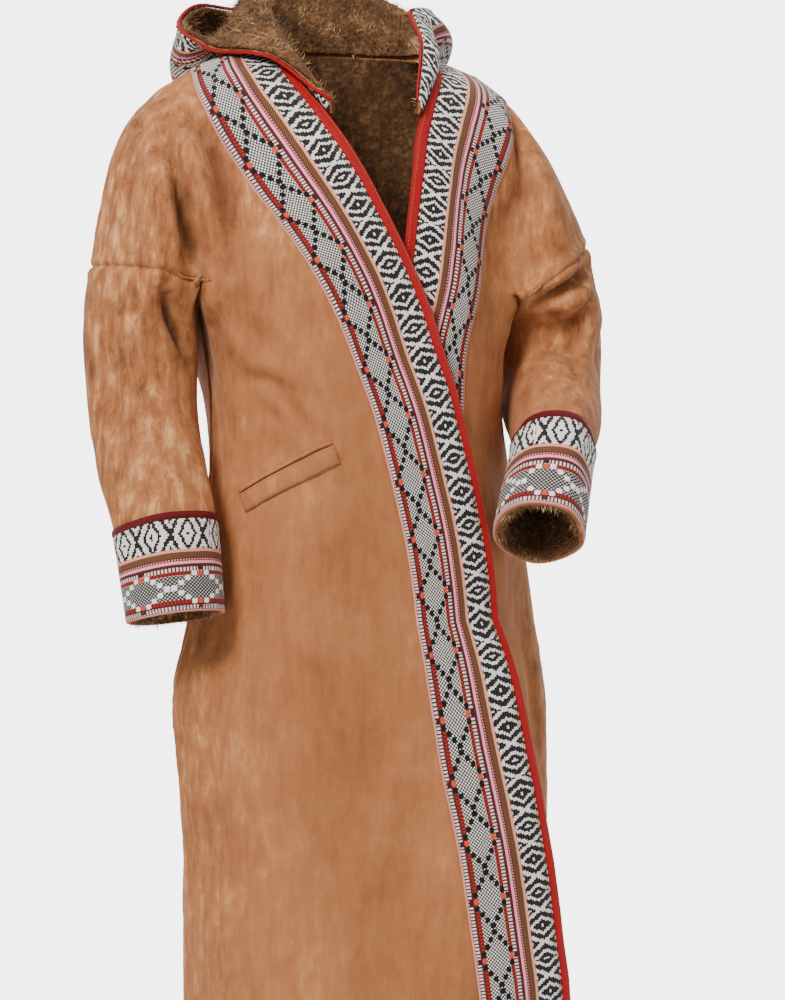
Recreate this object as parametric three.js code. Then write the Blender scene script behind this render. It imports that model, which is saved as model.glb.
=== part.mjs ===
// Farwa: a long hooded winter coat of faux suede bonded to a fur pile, lapped right over left, with a woven
// band down each front edge and round each cuff. Millimetres, +Z up, the fronts face -Y, and the wearer's right
// is -X. The origin is the point between the shoulders where the collar rests.
//
// The coat is a net of key points, or stations. Going round a ring they are numbered w: 0 at the centre front,
// positive on the wearer's right and negative on the left. Going down, the rings are numbered v: 0 is the
// neckline, ARMHOLE the ring where the sleeves are set in, and the last ring is the hem.

import * as THREE from 'three';

// Driving dimensions
const SUEDE_THICK = 4;        // suede with the short pile bonded to it
const BAND_THICK = 2;         // woven wool band
const BRAID_THICK = 2.4;      // braid, a little prouder than the band
const BRAID_WIDTH = 10;
const BAND_WIDTH = 95;        // band and braid together
const UNDERARM_GAP = 1.5;     // extra room where body and sleeve meet under the arm
const ARMPIT_GAP = 4.6;       // and at the armpits, where the fold is deepest
const SEAM_HALF = 0.3;        // each piece stands back this far from a seam
const LAID_GAP = 0.3;         // between a panel and what is sewn on it
const UNDERLAP = 12;          // how far the left front runs inside the right one
const UNDERLAP_FROM = 0.2;    // shares of the way to the armhole where it starts and over which it grows
const UNDERLAP_OVER = 0.5;
const UNDERLAP_FADE = 1.6;    // how soon it dies away towards the side
const CUFF_FUR_THICK = 5;
const HOOD_THICK = 2.5;
const HOOD_FUR_THICK = 6;
const PIPING_RADIUS = 2;
const PIPING_GAP = 2.2;       // the piping's seam allowance shows as a narrow gap at the rim
const PILE_LEAST = 2;          // the hood's pile pressed together in a tight bend
const PILE_ROOM = 0.6;        // share of a bend's radius that the hood's layers may fill
const HOOD_GAP = 1.2;         // between the hood's layers, which bend sharply
const WELT_HEIGHT = 20;
const WELT_THICK = 3;
const WELT_LIP = 4;            // the lip above the slit
const WELT_SLIT = 2;
const WELT_STANDS = 1.2;      // the welt stands this far off the curved front

const SUEDE = { color: 0xb9825a, roughness: 0.85, metalness: 0 };
const WOVEN = { color: 0x8f7f78, roughness: 0.8, metalness: 0 };
const RED_BRAID = { color: 0xc4181c, roughness: 0.7, metalness: 0 };
const DARK_BRAID = { color: 0x6e1416, roughness: 0.75, metalness: 0 };
const FUR = { color: 0x6e4b2d, roughness: 0.95, metalness: 0 };

// Yoke: from the neckline over the shoulder to the armhole ring, one row for each station
const CENTRE_FRONT = { neck: [0, -112, -92], upper: [0, -128, -140], lower: [0, -139, -190], armhole: [0, -146, -250] };
const CENTRE_BACK = { neck: [0, 84, 10], upper: [0, 103, -70], lower: [0, 108, -158], armhole: [0, 106, -250] };
const YOKE_RIGHT = [
  { at: 'chest', neck: [-52, -99, -76], upper: [-66, -122, -128], lower: [-80, -134, -184], armhole: [-92, -139, -250] },
  { at: 'front armpit', neck: [-80, -52, -26], upper: [-122, -82, -84], lower: [-162, -94, -164], armhole: [-184, -78, -250] },
  { at: 'arm front', neck: [-83, -24, -8], upper: [-160, -46, -44], lower: [-224, -78, -130], armhole: [-238, -90, -240] },
  { at: 'shoulder', neck: [-83, 4, 0], upper: [-168, 4, -21], lower: [-248, 2, -88], armhole: [-284, 0, -232] },
  { at: 'arm back', neck: [-81, 26, 3], upper: [-162, 50, -38], lower: [-228, 76, -125], armhole: [-240, 84, -242] },
  { at: 'back armpit', neck: [-72, 50, 6], upper: [-128, 84, -62], lower: [-165, 92, -155], armhole: [-184, 72, -250] },
  { at: 'shoulder blade', neck: [-42, 76, 9], upper: [-66, 100, -66], lower: [-82, 108, -155], armhole: [-95, 108, -250] },
];
const YOKE_LEFT = [
  { at: 'chest', neck: [46, -100, -74], upper: [66, -122, -128], lower: [80, -134, -184], armhole: [90, -139, -250] },
  { at: 'front armpit', neck: [76, -54, -26], upper: [116, -86, -88], lower: [146, -100, -172], armhole: [162, -88, -262] },
  { at: 'arm front', neck: [82, -24, -8], upper: [144, -56, -52], lower: [196, -92, -136], armhole: [218, -100, -226] },
  { at: 'shoulder', neck: [83, 4, 0], upper: [150, 2, -26], lower: [214, -4, -92], armhole: [268, -8, -200] },
  { at: 'arm back', neck: [81, 26, 3], upper: [146, 48, -40], lower: [206, 66, -126], armhole: [240, 74, -226] },
  { at: 'back armpit', neck: [72, 50, 6], upper: [120, 82, -64], lower: [152, 90, -158], armhole: [174, 70, -254] },
  { at: 'shoulder blade', neck: [42, 76, 9], upper: [66, 100, -66], lower: [82, 108, -155], armhole: [94, 108, -250] },
];
const UNDERARM = { right: [-168, 0, -266], left: [164, -6, -272] };
const ARMHOLE_MIDDLE = { right: [-226, 0, -246], left: [214, -6, -240] };

// Body sections below the armholes: middle, half width, front and back at each height, and how square the corners are
const BODY_SECTIONS = [
  { z: -335, middle: -1, side: 158, front: -151, back: 106, corner: 0.97 },
  { z: -425, middle: 6, side: 164, front: -153, back: 99, corner: 0.85 },
  { z: -520, middle: 14, side: 177, front: -151, back: 98, corner: 0.84 },
  { z: -605, middle: 12, side: 192, front: -149, back: 103, corner: 0.8 },
  { z: -695, middle: 11, side: 208, front: -147, back: 108, corner: 0.82 },
  { z: -860, middle: 18, side: 203, front: -143, back: 110, corner: 0.85 },
  { z: -1060, middle: 17, side: 199, front: -138, back: 111, corner: 0.87 },
  { z: -1355, middle: 18, side: 203, front: -134, back: 113, corner: 0.88 },
];
const CORNER_FRONT = 0.54;    // how far forward the armpit corners of a section lie, as a share of its front
const CORNER_BACK = 0.64;
const CHEST = { across: 0.53, depth: 0.945 };   // stations between the centres and the corners, as shares
const BLADE = { across: 0.52, depth: 0.965 };
const SIDE_BACKWARDS = 12;    // the sides lie this far behind the middle of front and back

// Sleeve sections below the armhole: centre, half width across and half depth front to back
const SLEEVE_RIGHT = [
  { x: -232, y: 0, z: -300, wide: 59, deep: 80 },
  { x: -231, y: -8, z: -380, wide: 58, deep: 70 },
  { x: -227, y: -36, z: -450, wide: 56, deep: 63 },
  { x: -221, y: -60, z: -504, wide: 53, deep: 56 },
  { x: -213, y: -76, z: -600, wide: 49, deep: 51 },
];
const SLEEVE_LEFT = [
  { x: 228, y: -2, z: -284, wide: 60, deep: 80 },
  { x: 226, y: -14, z: -345, wide: 55, deep: 72 },
  { x: 208, y: -72, z: -392, wide: 50, deep: 62 },
  { x: 185, y: -128, z: -424, wide: 44, deep: 57 },
  { x: 150, y: -180, z: -512, wide: 46, deep: 57 },
];
// Station angles round a sleeve, from the outside of the arm towards the front
const SLEEVE_ANGLES = { armpitFront: 130, armFront: 70, outside: 0, armBack: -70, armpitBack: -130, inside: 180 };

// Front edges below the neckline: how far the edge of each front lies past the centre, towards the wearer's left
const FRONT_EDGES = [
  { v: 0, right: -52, left: 46 },
  { v: 1, right: -22, left: 33 },
  { v: 2, right: 2, left: 24 },
  { v: 3, right: 29, left: 14 },
  { v: 4, right: 60, left: 0 },
  { v: 5, right: 86, left: -16 },
  { v: 6, right: 108, left: -30 },
  { v: 7, right: 120, left: -42 },
  { v: 8, right: 132, left: -54 },
  { v: 9, right: 158, left: -74 },
  { v: 10, right: 176, left: -92 },
  { v: 11, right: 186, left: -110 },
];
// The lapped edge of the right front hangs free below the waist: how far it stands off the body
const FREE_EDGE = { startsAt: 7, reach: 190, sideways: 34, forward: 60, growth: 0.8 };

// Main folds: soft troughs and ridges between two points, with their width and depth (negative stands proud)
const FOLDS = [
  { from: [-212, -78, -100], to: [-158, -104, -292], width: 22, depth: 11 },
  { from: [-190, -72, -80], to: [-132, -118, -240], width: 22, depth: 5 },
  { from: [-232, -90, -262], to: [-200, -78, -345], width: 22, depth: 7 },
  { from: [-176, -70, -300], to: [-120, -128, -430], width: 22, depth: 6 },
  { from: [-150, -96, -360], to: [-60, -150, -385], width: 22, depth: 4 },
  { from: [-128, -118, -400], to: [-52, -152, -446], width: 22, depth: -4 },
  { from: [-285, -20, -330], to: [-180, -60, -400], width: 22, depth: 6 },
  { from: [-60, -146, -700], to: [-84, -138, -1000], width: 34, depth: 7 },
  { from: [30, -148, -760], to: [-10, -144, -1040], width: 38, depth: 6 },
  { from: [-150, -80, -700], to: [-170, -72, -1200], width: 36, depth: -6 },
  { from: [176, -72, -66], to: [142, -118, -235], width: 22, depth: 8 },
  { from: [278, -30, -236], to: [176, -80, -330], width: 22, depth: 12 },
  { from: [286, 0, -262], to: [240, -66, -352], width: 22, depth: 7 },
  { from: [262, 30, -320], to: [208, -100, -372], width: 22, depth: 7 },
  { from: [185, 66, -120], to: [150, 96, -300], width: 22, depth: 8 },
  { from: [-190, 74, -110], to: [-148, 96, -300], width: 22, depth: 9 },
  { from: [-110, 108, -330], to: [90, 104, -360], width: 26, depth: 5 },
  { from: [-70, 106, -560], to: [-100, 112, -1200], width: 40, depth: 9 },
  { from: [80, 108, -600], to: [96, 112, -1240], width: 38, depth: 8 },
  { from: [206, 20, -640], to: [216, 30, -1180], width: 34, depth: 7 },
];

const FOLD_END = 0.35;        // share of a fold's depth that is left at its ends
const FOLD_TAPER = 0.08;

// Hood, thrown back: offsets outwards and upwards from the neckline at each station
const HOOD_STATIONS = [
  { w: 1, rise: [1, 3], crest: [2, 5], pouch: [3, 7], outer: [4, 9], rim: [5, 11] },
  { w: 2, rise: [1, 7], crest: [3, 13], pouch: [6, 15], outer: [10, 12], rim: [14, 6] },
  { w: 3, rise: [1, 12], crest: [5, 21], pouch: [13, 20], outer: [23, 11], rim: [34, 2] },
  { w: 4, rise: [2, 22], crest: [12, 40], pouch: [30, 26], outer: [50, 10], rim: [68, 1] },
  { w: 5, rise: [3, 34], crest: [20, 60], pouch: [50, 14], outer: [84, 2], rim: [100, 25] },
  { w: 6, rise: [4, 38], crest: [24, 66], pouch: [78, -50], outer: [116, -18], rim: [92, 52] },
  { w: 7, rise: [5, 38], crest: [26, 66], pouch: [72, -118], outer: [118, -50], rim: [88, 54] },
  { w: 8, rise: [6, 38], crest: [27, 64], pouch: [68, -142], outer: [116, -68], rim: [80, 52] },
  { w: 9, rise: [5, 34], crest: [26, 58], pouch: [66, -88], outer: [104, -34], rim: [66, 52] },
  { w: 10, rise: [5, 24], crest: [24, 40], pouch: [56, -18], outer: [84, 12], rim: [50, 54] },
  { w: 11, rise: [5, 12], crest: [14, 22], pouch: [33, 12], outer: [42, 36], rim: [14, 54] },
  { w: 12, rise: [6, 8], crest: [9, 19], pouch: [10, 30], outer: [4, 42], rim: [-10, 50] },
  { w: 13, rise: [5, 7], crest: [6, 16], pouch: [5, 25], outer: [-2, 34], rim: [-13, 41] },
  { w: 14, rise: [4, 6], crest: [5, 13], pouch: [3, 20], outer: [-2, 27], rim: [-10, 32] },
  { w: 15, rise: [1, 3], crest: [1, 6], pouch: [1, 8], outer: [0, 11], rim: [-2, 14] },
];

// Pocket welt on the right front: its upper line from the centre side to the side seam
const WELT = { inner: { w: 0.78, v: 4.97 }, outer: { w: 2.2, v: 5.5 } };

// Counts of facets
const SHOULDER_STEPS = 7;     // from the band to the end of the shoulder seam
const ARM_QUARTER = 8;        // armhole, from the shoulder seam to the armpit
const FLANK_STEPS = 2;        // armhole, from the armpit to the underarm
const SIDE_STEPS = 18;        // down the side seam
const BACK_STEPS = 4;         // from the armpit to the centre back
const SLEEVE_STEPS = 3;       // between two sleeve sections
const BAND_COLUMNS = [0, BRAID_WIDTH, 38, 67, BAND_WIDTH];
const HOOD_LOWER_SHARES = [0, 0.22, 0.38, 0.5, 0.62, 0.78, 0.9, 1];  // from the neckline to the hood's band
const HOOD_BAND_ROWS = 5;
const HOOD_BAND_LOWEST = 0.28;  // the hood's band starts no nearer the neckline than this share of its height
const HOOD_SAMPLES = 60;
const RIM_REACH = { up: 0.1, along: 0.05 };  // steps over which the rim's directions are taken
const HOOD_COLUMNS = 28;
const EVENING_PASSES = 3;
const CUFF_ROWS = [0.09, 0.4, 0.7, 1];  // shares of the cuff's height; the braid takes the first
const WELT_STEPS = 8;
const PIPING_SIDES = 6;

// ---------------------------------------------------------------- splines

const vec = (p) => new THREE.Vector3(p[0], p[1], p[2]);
const between = (a, b, steps) => Array.from({ length: steps + 1 }, (_, k) => a + ((b - a) * k) / steps);

function hermite(p0, m0, p1, m1, t) {
  const t2 = t * t;
  const t3 = t2 * t;
  return new THREE.Vector3()
    .addScaledVector(p0, 2 * t3 - 3 * t2 + 1)
    .addScaledVector(m0, t3 - 2 * t2 + t)
    .addScaledVector(p1, -2 * t3 + 3 * t2)
    .addScaledVector(m1, t3 - t2);
}

// A smooth curve through points at whole numbers, as a function of t
function through(points, t) {
  const last = points.length - 1;
  const i = Math.min(Math.max(Math.floor(t), 0), last - 1);
  const slope = (k) => {
    const a = points[Math.max(k - 1, 0)];
    const b = points[Math.min(k + 1, last)];
    return b.clone().sub(a).multiplyScalar(k === 0 || k === last ? 1 : 0.5);
  };
  return hermite(points[i], slope(i), points[i + 1], slope(i + 1), t - i);
}

function throughNumbers(values, t) {
  return through(values.map((value) => new THREE.Vector3(value, 0, 0)), t).x;
}

// A closed ring of stations, with the slope at each one
function ring(points) {
  const count = points.length;
  const slopes = points.map((_, k) => points[(k + 1) % count].clone()
    .sub(points[(k + count - 1) % count]).multiplyScalar(0.5));
  return { points, slopes };
}

// An arc of stations cut from a ring
function arc(source, start, length) {
  const count = source.points.length;
  const index = Array.from({ length: length + 1 }, (_, k) => (start + k + count) % count);
  return { points: index.map((k) => source.points[k]), slopes: index.map((k) => source.slopes[k]) };
}

function onArc(path, s) {
  const i = Math.min(Math.max(Math.floor(s), 0), path.points.length - 2);
  return hermite(path.points[i], path.slopes[i], path.points[i + 1], path.slopes[i + 1], s - i);
}

// ---------------------------------------------------------------- the coat as a surface

const ARMHOLE = 3;
const HEM = ARMHOLE + BODY_SECTIONS.length;
const CUFF = ARMHOLE + SLEEVE_RIGHT.length;
const FRONT_HALF = 2;         // stations from the centre front to the armpit
const ARM_ARC = 4;            // stations over the arm, from armpit to armpit
const FLANK_ARC = 2;          // stations under the arm
const BACK_HALF = 2;          // stations from the back armpit to the centre back

// Stations of the shoulder seam, and of the back armpit and centre back above and below the armhole
const SHOULDER = FRONT_HALF + ARM_ARC / 2;
const YOKE_ARMPIT = FRONT_HALF + ARM_ARC;
const YOKE_CENTRE = YOKE_ARMPIT + BACK_HALF;
const SIDE_SEAM = FRONT_HALF + FLANK_ARC / 2;
const BODY_ARMPIT = FRONT_HALF + FLANK_ARC;
const BODY_CENTRE = BODY_ARMPIT + BACK_HALF;

// Fineness of the walks over the cloth
const NECK_SAMPLES = 12;
const EDGE_SAMPLES = 110;
const HALVINGS = 30;
const EDGE_REACH = 12;        // an edge's direction is taken over this length to each side
const WALK_STEP = 4;
const TINY = 0.01;            // step, in stations, for the slope of the cloth

// Yoke rings go round: centre front, right stations, centre back, left stations
function yokeRing(level) {
  const right = YOKE_RIGHT.map((station) => vec(station[level]));
  const left = YOKE_LEFT.map((station) => vec(station[level])).reverse();
  return ring([vec(CENTRE_FRONT[level]), ...right, vec(CENTRE_BACK[level]), ...left]);
}

function bodyRing(section) {
  const at = (across, y) => new THREE.Vector3(section.middle + across * section.side, y, section.z);
  const half = (sign) => [
    at(sign * CHEST.across, section.front * CHEST.depth),
    at(sign * section.corner, section.front * CORNER_FRONT),
    at(sign, (section.front + section.back) / 2 + SIDE_BACKWARDS),
    at(sign * section.corner, section.back * CORNER_BACK),
    at(sign * BLADE.across, section.back * BLADE.depth),
  ];
  return ring([at(0, section.front), ...half(-1), at(0, section.back), ...half(1).reverse()]);
}

const yokeRings = ['neck', 'upper', 'lower', 'armhole'].map(yokeRing);
const armholeRing = yokeRings[ARMHOLE];
const armholeBody = ring([
  armholeRing.points[0], armholeRing.points[1], armholeRing.points[2], vec(UNDERARM.right),
  armholeRing.points[6], armholeRing.points[7], armholeRing.points[8], armholeRing.points[9],
  armholeRing.points[10], vec(UNDERARM.left), armholeRing.points[14], armholeRing.points[15],
]);
const bodyRings = BODY_SECTIONS.map(bodyRing);

function sleeveRing(sections, index, side) {
  const centres = sections.map((s) => new THREE.Vector3(s.x, s.y, s.z));
  const before = index === 0 ? vec(side.armholeMiddle) : centres[index - 1];
  const after = centres[Math.min(index + 1, centres.length - 1)];
  const along = after.clone().sub(before).normalize();
  const outwards = new THREE.Vector3(side.sign, 0, 0);
  outwards.addScaledVector(along, -outwards.dot(along)).normalize();
  const forwards = new THREE.Vector3(0, -1, 0);
  forwards.addScaledVector(along, -forwards.dot(along)).addScaledVector(outwards, -forwards.dot(outwards)).normalize();
  const { wide, deep } = sections[index];
  const at = (degrees) => centres[index].clone()
    .addScaledVector(outwards, wide * Math.cos(THREE.MathUtils.degToRad(degrees)))
    .addScaledVector(forwards, deep * Math.sin(THREE.MathUtils.degToRad(degrees)));
  const a = SLEEVE_ANGLES;
  return ring([a.armpitFront, a.armFront, a.outside, a.armBack, a.armpitBack, a.inside].map(at));
}

function makeSide(name, sign, sections, armholeMiddle, armStart, flankStart) {
  const side = { name, sign, armholeMiddle };
  const order = (count, from) => Array.from({ length: count + 1 }, (_, k) => from - sign * k);
  const pick = (source, list) => {
    const n = source.points.length;
    const flip = list.length > 1 && list[1] < list[0] ? -1 : 1;
    return {
      points: list.map((k) => source.points[(k + n) % n]),
      slopes: list.map((k) => source.slopes[(k + n) % n].clone().multiplyScalar(flip)),
    };
  };
  const sleeveRings = sections.map((_, k) => sleeveRing(sections, k, side));
  const yokeArcs = yokeRings.map((source) => pick(source, order(ARM_ARC, armStart)));
  side.armArcs = [...yokeArcs, ...sleeveRings.map((source) => arc(source, 0, ARM_ARC))];
  const flankTop = pick(armholeBody, order(FLANK_ARC, flankStart));
  side.flankArcs = [flankTop, ...bodyRings.map((source) => pick(source, order(FLANK_ARC, flankStart)))];
  const insideTop = {
    points: [...flankTop.points].reverse(),
    slopes: [...flankTop.slopes].reverse().map((slope) => slope.clone().negate()),
  };
  side.insideArcs = [insideTop, ...sleeveRings.map((source) => arc(source, ARM_ARC, FLANK_ARC))];
  return side;
}

// The numbers are where the front armpit stands in a yoke ring and in a body ring
const RIGHT = makeSide('right', -1, SLEEVE_RIGHT, ARMHOLE_MIDDLE.right, 2, 2);
const LEFT = makeSide('left', 1, SLEEVE_LEFT, ARMHOLE_MIDDLE.left, 14, 10);

const frontArcs = [
  ...yokeRings.map((source) => arc(source, -FRONT_HALF, 2 * FRONT_HALF)),
  ...bodyRings.map((source) => arc(source, -FRONT_HALF, 2 * FRONT_HALF)),
];
const backArcs = [
  ...yokeRings.map((source) => arc(source, YOKE_ARMPIT, 2 * BACK_HALF)),
  ...bodyRings.map((source) => arc(source, BODY_ARMPIT, 2 * BACK_HALF)),
];

// Across rings
function acrossRings(arcs, firstRing, s, v) {
  const last = arcs.length - 1;
  const t = v - firstRing;
  const i = Math.min(Math.max(Math.floor(t), 0), last - 1);
  const from = Math.max(i - 1, 0);
  const to = Math.min(i + 2, last);
  const points = [];
  for (let k = from; k <= to; k += 1) points.push(onArc(arcs[k], s));
  return through(points, t - from);
}

// Coat body at station w, ring v
function body(w, v) {
  const side = w >= 0 ? RIGHT : LEFT;
  const a = Math.abs(w);
  if (a <= FRONT_HALF) return acrossRings(frontArcs, 0, FRONT_HALF + w, v);
  const under = v > ARMHOLE;
  const armpitBack = under ? BODY_ARMPIT : YOKE_ARMPIT;
  if (a < armpitBack) {
    if (under) return acrossRings(side.flankArcs, ARMHOLE, a - FRONT_HALF, v);
    return acrossRings(side.armArcs, 0, a - FRONT_HALF, v);
  }
  const s = w >= 0 ? a - armpitBack : 2 * BACK_HALF - (a - armpitBack);
  return acrossRings(backArcs, 0, s, v);
}

const flank = (side, s, v) => acrossRings(side.flankArcs, ARMHOLE, s, v);

// Sleeve at s: 0 to 4 over the outside from the front armpit, 4 to 6 back along the inside
function sleeve(side, s, v) {
  if (s <= ARM_ARC) return acrossRings(side.armArcs, 0, s, v);
  return acrossRings(side.insideArcs, ARMHOLE, s - ARM_ARC, v);
}

// ---------------------------------------------------------------- front edges

const edgeTable = (column) => FRONT_EDGES.map((row) => row[column]);
const EDGE_X = { right: edgeTable('right'), left: edgeTable('left') };

// The station where a front's edge crosses ring v
function edgeStation(column, v) {
  const x = throughNumbers(EDGE_X[column], v);
  let low = -FRONT_HALF;
  let high = FRONT_HALF;
  for (let k = 0; k < HALVINGS; k += 1) {
    const middle = (low + high) / 2;
    if (body(middle, v).x > x) low = middle;
    else high = middle;
  }
  return (low + high) / 2;
}

// A front's edge as one path from the shoulder seam, round the neckline and down to the hem
function edgePath(side) {
  const start = edgeStation(side.name, 0);
  const turn = Math.abs(start);
  const sign = -side.sign;
  const neckPoints = [];
  between(SHOULDER, turn, NECK_SAMPLES).forEach((w) => neckPoints.push({ w: sign * w, v: 0 }));
  const edgePoints = between(0, HEM, EDGE_SAMPLES).slice(1).map((v) => ({ w: edgeStation(side.name, v), v }));
  const path = [...neckPoints, ...edgePoints];
  let length = 0;
  path.forEach((point, k) => {
    if (k > 0) length += body(point.w, point.v).distanceTo(body(path[k - 1].w, path[k - 1].v));
    point.along = length;
  });
  return path;
}

function alongPath(path, distance) {
  let k = 1;
  while (k < path.length - 1 && path[k].along < distance) k += 1;
  const a = path[k - 1];
  const b = path[k];
  const t = Math.min(Math.max((distance - a.along) / (b.along - a.along), 0), 1);
  return { w: a.w + (b.w - a.w) * t, v: a.v + (b.v - a.v) * t };
}

// Walks over the cloth from an edge point, square to the edge, and gives the stations at the asked widths
function walkIn(path, distance, widths) {
  const here = alongPath(path, distance);
  const before = alongPath(path, Math.max(distance - EDGE_REACH, 0));
  const after = alongPath(path, Math.min(distance + EDGE_REACH, path[path.length - 1].along));
  const edge = body(after.w, after.v).sub(body(before.w, before.v)).normalize();
  const sideSign = path[0].w >= 0 ? 1 : -1;
  const point = { w: here.w, v: here.v };
  const places = [];
  let heading = null;
  let walked = 0;
  widths.forEach((width) => {
    while (walked < width - 1e-6) {
      const stride = Math.min(WALK_STEP, width - walked);
      const v = Math.min(Math.max(point.v, TINY), HEM - TINY);
      const dw = body(point.w + TINY, v).sub(body(point.w - TINY, v)).multiplyScalar(0.5 / TINY);
      const dv = body(point.w, v + TINY).sub(body(point.w, v - TINY)).multiplyScalar(0.5 / TINY);
      const normal = dw.clone().cross(dv).normalize();
      if (heading === null) heading = edge.clone().cross(normal).multiplyScalar(sideSign);
      heading.addScaledVector(normal, -heading.dot(normal)).normalize();
      const aa = dw.dot(dw);
      const ab = dw.dot(dv);
      const bb = dv.dot(dv);
      const ha = heading.dot(dw);
      const hb = heading.dot(dv);
      const det = aa * bb - ab * ab;
      point.w += (stride * (ha * bb - hb * ab)) / det;
      point.v += (stride * (hb * aa - ha * ab)) / det;
      walked += stride;
    }
    places.push({ w: point.w, v: Math.min(Math.max(point.v, 0), HEM) });
  });
  return places;
}

// ---------------------------------------------------------------- nets of points

const near = (n) => Math.round(n * 1000);
const keyOf = (p) => `${near(p.x)},${near(p.y)},${near(p.z)}`;

// A net holds a piece's points, its four-cornered facets and, for rows and columns, a grid of point numbers
function makeNet() {
  return { points: [], facets: [], grid: [], where: new Map() };
}

function addPoint(net, p) {
  const key = keyOf(p);
  if (!net.where.has(key)) {
    net.where.set(key, net.points.length);
    net.points.push(p.clone());
  }
  return net.where.get(key);
}

// Facets between rows of points; flip turns them over
function addRows(net, rows, flip = false, closed = false) {
  const grid = rows.map((row) => row.map((p) => addPoint(net, p)));
  for (let r = 0; r + 1 < grid.length; r += 1) {
    const columns = grid[r].length;
    for (let c = 0; c < (closed ? columns : columns - 1); c += 1) {
      const d = (c + 1) % columns;
      const quad = [grid[r][c], grid[r + 1][c], grid[r + 1][d], grid[r][d]];
      if (flip) quad.reverse();
      net.facets.push(quad);
    }
  }
  net.grid.push(...grid);
  return grid;
}

// Triangles of a facet, without the ones that have shrunk to a line
function triangles(facet, points) {
  const [a, b, c, d] = facet;
  const short = points[a].distanceTo(points[c]) <= points[b].distanceTo(points[d]);
  const pair = short ? [[a, b, c], [a, c, d]] : [[a, b, d], [b, c, d]];
  return pair.filter(([i, j, k]) => i !== j && j !== k && i !== k);
}

// Outward directions at the points of several nets that are sewn together
function sewnNormals(nets) {
  const sums = new Map();
  nets.forEach((net) => net.facets.forEach((facet) => {
    triangles(facet, net.points).forEach((corners) => {
      const p = corners.map((k) => net.points[k]);
      const face = p[1].clone().sub(p[0]).cross(p[2].clone().sub(p[0]));
      if (face.length() < 1e-9) return;
      face.normalize();
      corners.forEach((_, k) => {
        const one = p[(k + 1) % 3].clone().sub(p[k]);
        const two = p[(k + 2) % 3].clone().sub(p[k]);
        const key = keyOf(p[k]);
        if (!sums.has(key)) sums.set(key, new THREE.Vector3());
        sums.get(key).addScaledVector(face, one.angleTo(two));
      });
    });
  }));
  return nets.map((net) => net.points.map((p) => sums.get(keyOf(p)).clone().normalize()));
}

// Boundary edges of a net, as pairs of point numbers in facet order
function rimEdges(tris) {
  const count = new Map();
  tris.forEach((t) => t.forEach((a, k) => {
    const b = t[(k + 1) % 3];
    count.set(`${Math.min(a, b)}_${Math.max(a, b)}`, (count.get(`${Math.min(a, b)}_${Math.max(a, b)}`) || 0) + 1);
  }));
  const edges = [];
  tris.forEach((t) => t.forEach((a, k) => {
    const b = t[(k + 1) % 3];
    if (count.get(`${Math.min(a, b)}_${Math.max(a, b)}`) === 1) edges.push([a, b]);
  }));
  return edges;
}

// A closed wall over a net: its outer face lies `raise` above the net and its inner face `thick` below that.
// Edges are drawn back by `setback`, so that sewn pieces stay just apart. The thickness may differ point by point.
function wall(net, normals, raise, thick, setback) {
  const tris = net.facets.flatMap((facet) => triangles(facet, net.points));
  const edges = rimEdges(tris);
  const neighbours = new Map();
  edges.forEach(([a, b]) => {
    if (!neighbours.has(a)) neighbours.set(a, {});
    if (!neighbours.has(b)) neighbours.set(b, {});
    neighbours.get(a).next = b;
    neighbours.get(b).before = a;
  });
  const outer = net.points.map((p, k) => p.clone().addScaledVector(normals[k], raise));
  if (setback > 0) {
    neighbours.forEach((ends, k) => {
      if (ends.next === undefined || ends.before === undefined) return;
      const tangent = net.points[ends.next].clone().sub(net.points[ends.before]).normalize();
      const inwards = normals[k].clone().cross(tangent).normalize();
      outer[k].addScaledVector(inwards, setback);
    });
  }
  const inner = outer.map((p, k) => p.clone().addScaledVector(normals[k], -(Array.isArray(thick) ? thick[k] : thick)));
  return closedGeometry(outer, inner, tris, edges);
}

function closedGeometry(outer, inner, tris, edges) {
  const n = outer.length;
  const position = [...outer, ...inner].flatMap((p) => [p.x, p.y, p.z]);
  const index = [];
  tris.forEach(([a, b, c]) => index.push(a, b, c, n + c, n + b, n + a));
  edges.forEach(([a, b]) => index.push(b, a, n + a, b, n + a, n + b));
  const geometry = new THREE.BufferGeometry();
  geometry.setAttribute('position', new THREE.Float32BufferAttribute(position, 3));
  geometry.setIndex(index);
  return geometry;
}

// ---------------------------------------------------------------- folds

function foldDepth(p) {
  let depth = 0;
  FOLDS.forEach((fold) => {
    const from = vec(fold.from);
    const line = vec(fold.to).sub(from);
    const t = Math.min(Math.max(p.clone().sub(from).dot(line) / line.lengthSq(), 0), 1);
    const away = p.distanceTo(from.addScaledVector(line, t));
    const fade = FOLD_END + (1 - FOLD_END) * Math.sin(Math.PI * Math.min(Math.max(t, FOLD_TAPER), 1 - FOLD_TAPER));
    depth += fold.depth * fade * Math.exp(-((away / fold.width) ** 2));
  });
  return depth;
}

// ---------------------------------------------------------------- panels

const sideRings = between(ARMHOLE, HEM, SIDE_STEPS);

// How far the free edge of the right front stands off the body
function freeEdge(w, v) {
  const down = (v - FREE_EDGE.startsAt) / (HEM - FREE_EDGE.startsAt);
  if (down <= 0) return new THREE.Vector3();
  const edge = body(edgeStation('right', v), v);
  const away = Math.min(body(w, v).distanceTo(edge) / FREE_EDGE.reach, 1);
  const share = down ** FREE_EDGE.growth * (1 - away) ** 2;
  return new THREE.Vector3(FREE_EDGE.sideways * share, -FREE_EDGE.forward * share, 0);
}

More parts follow.
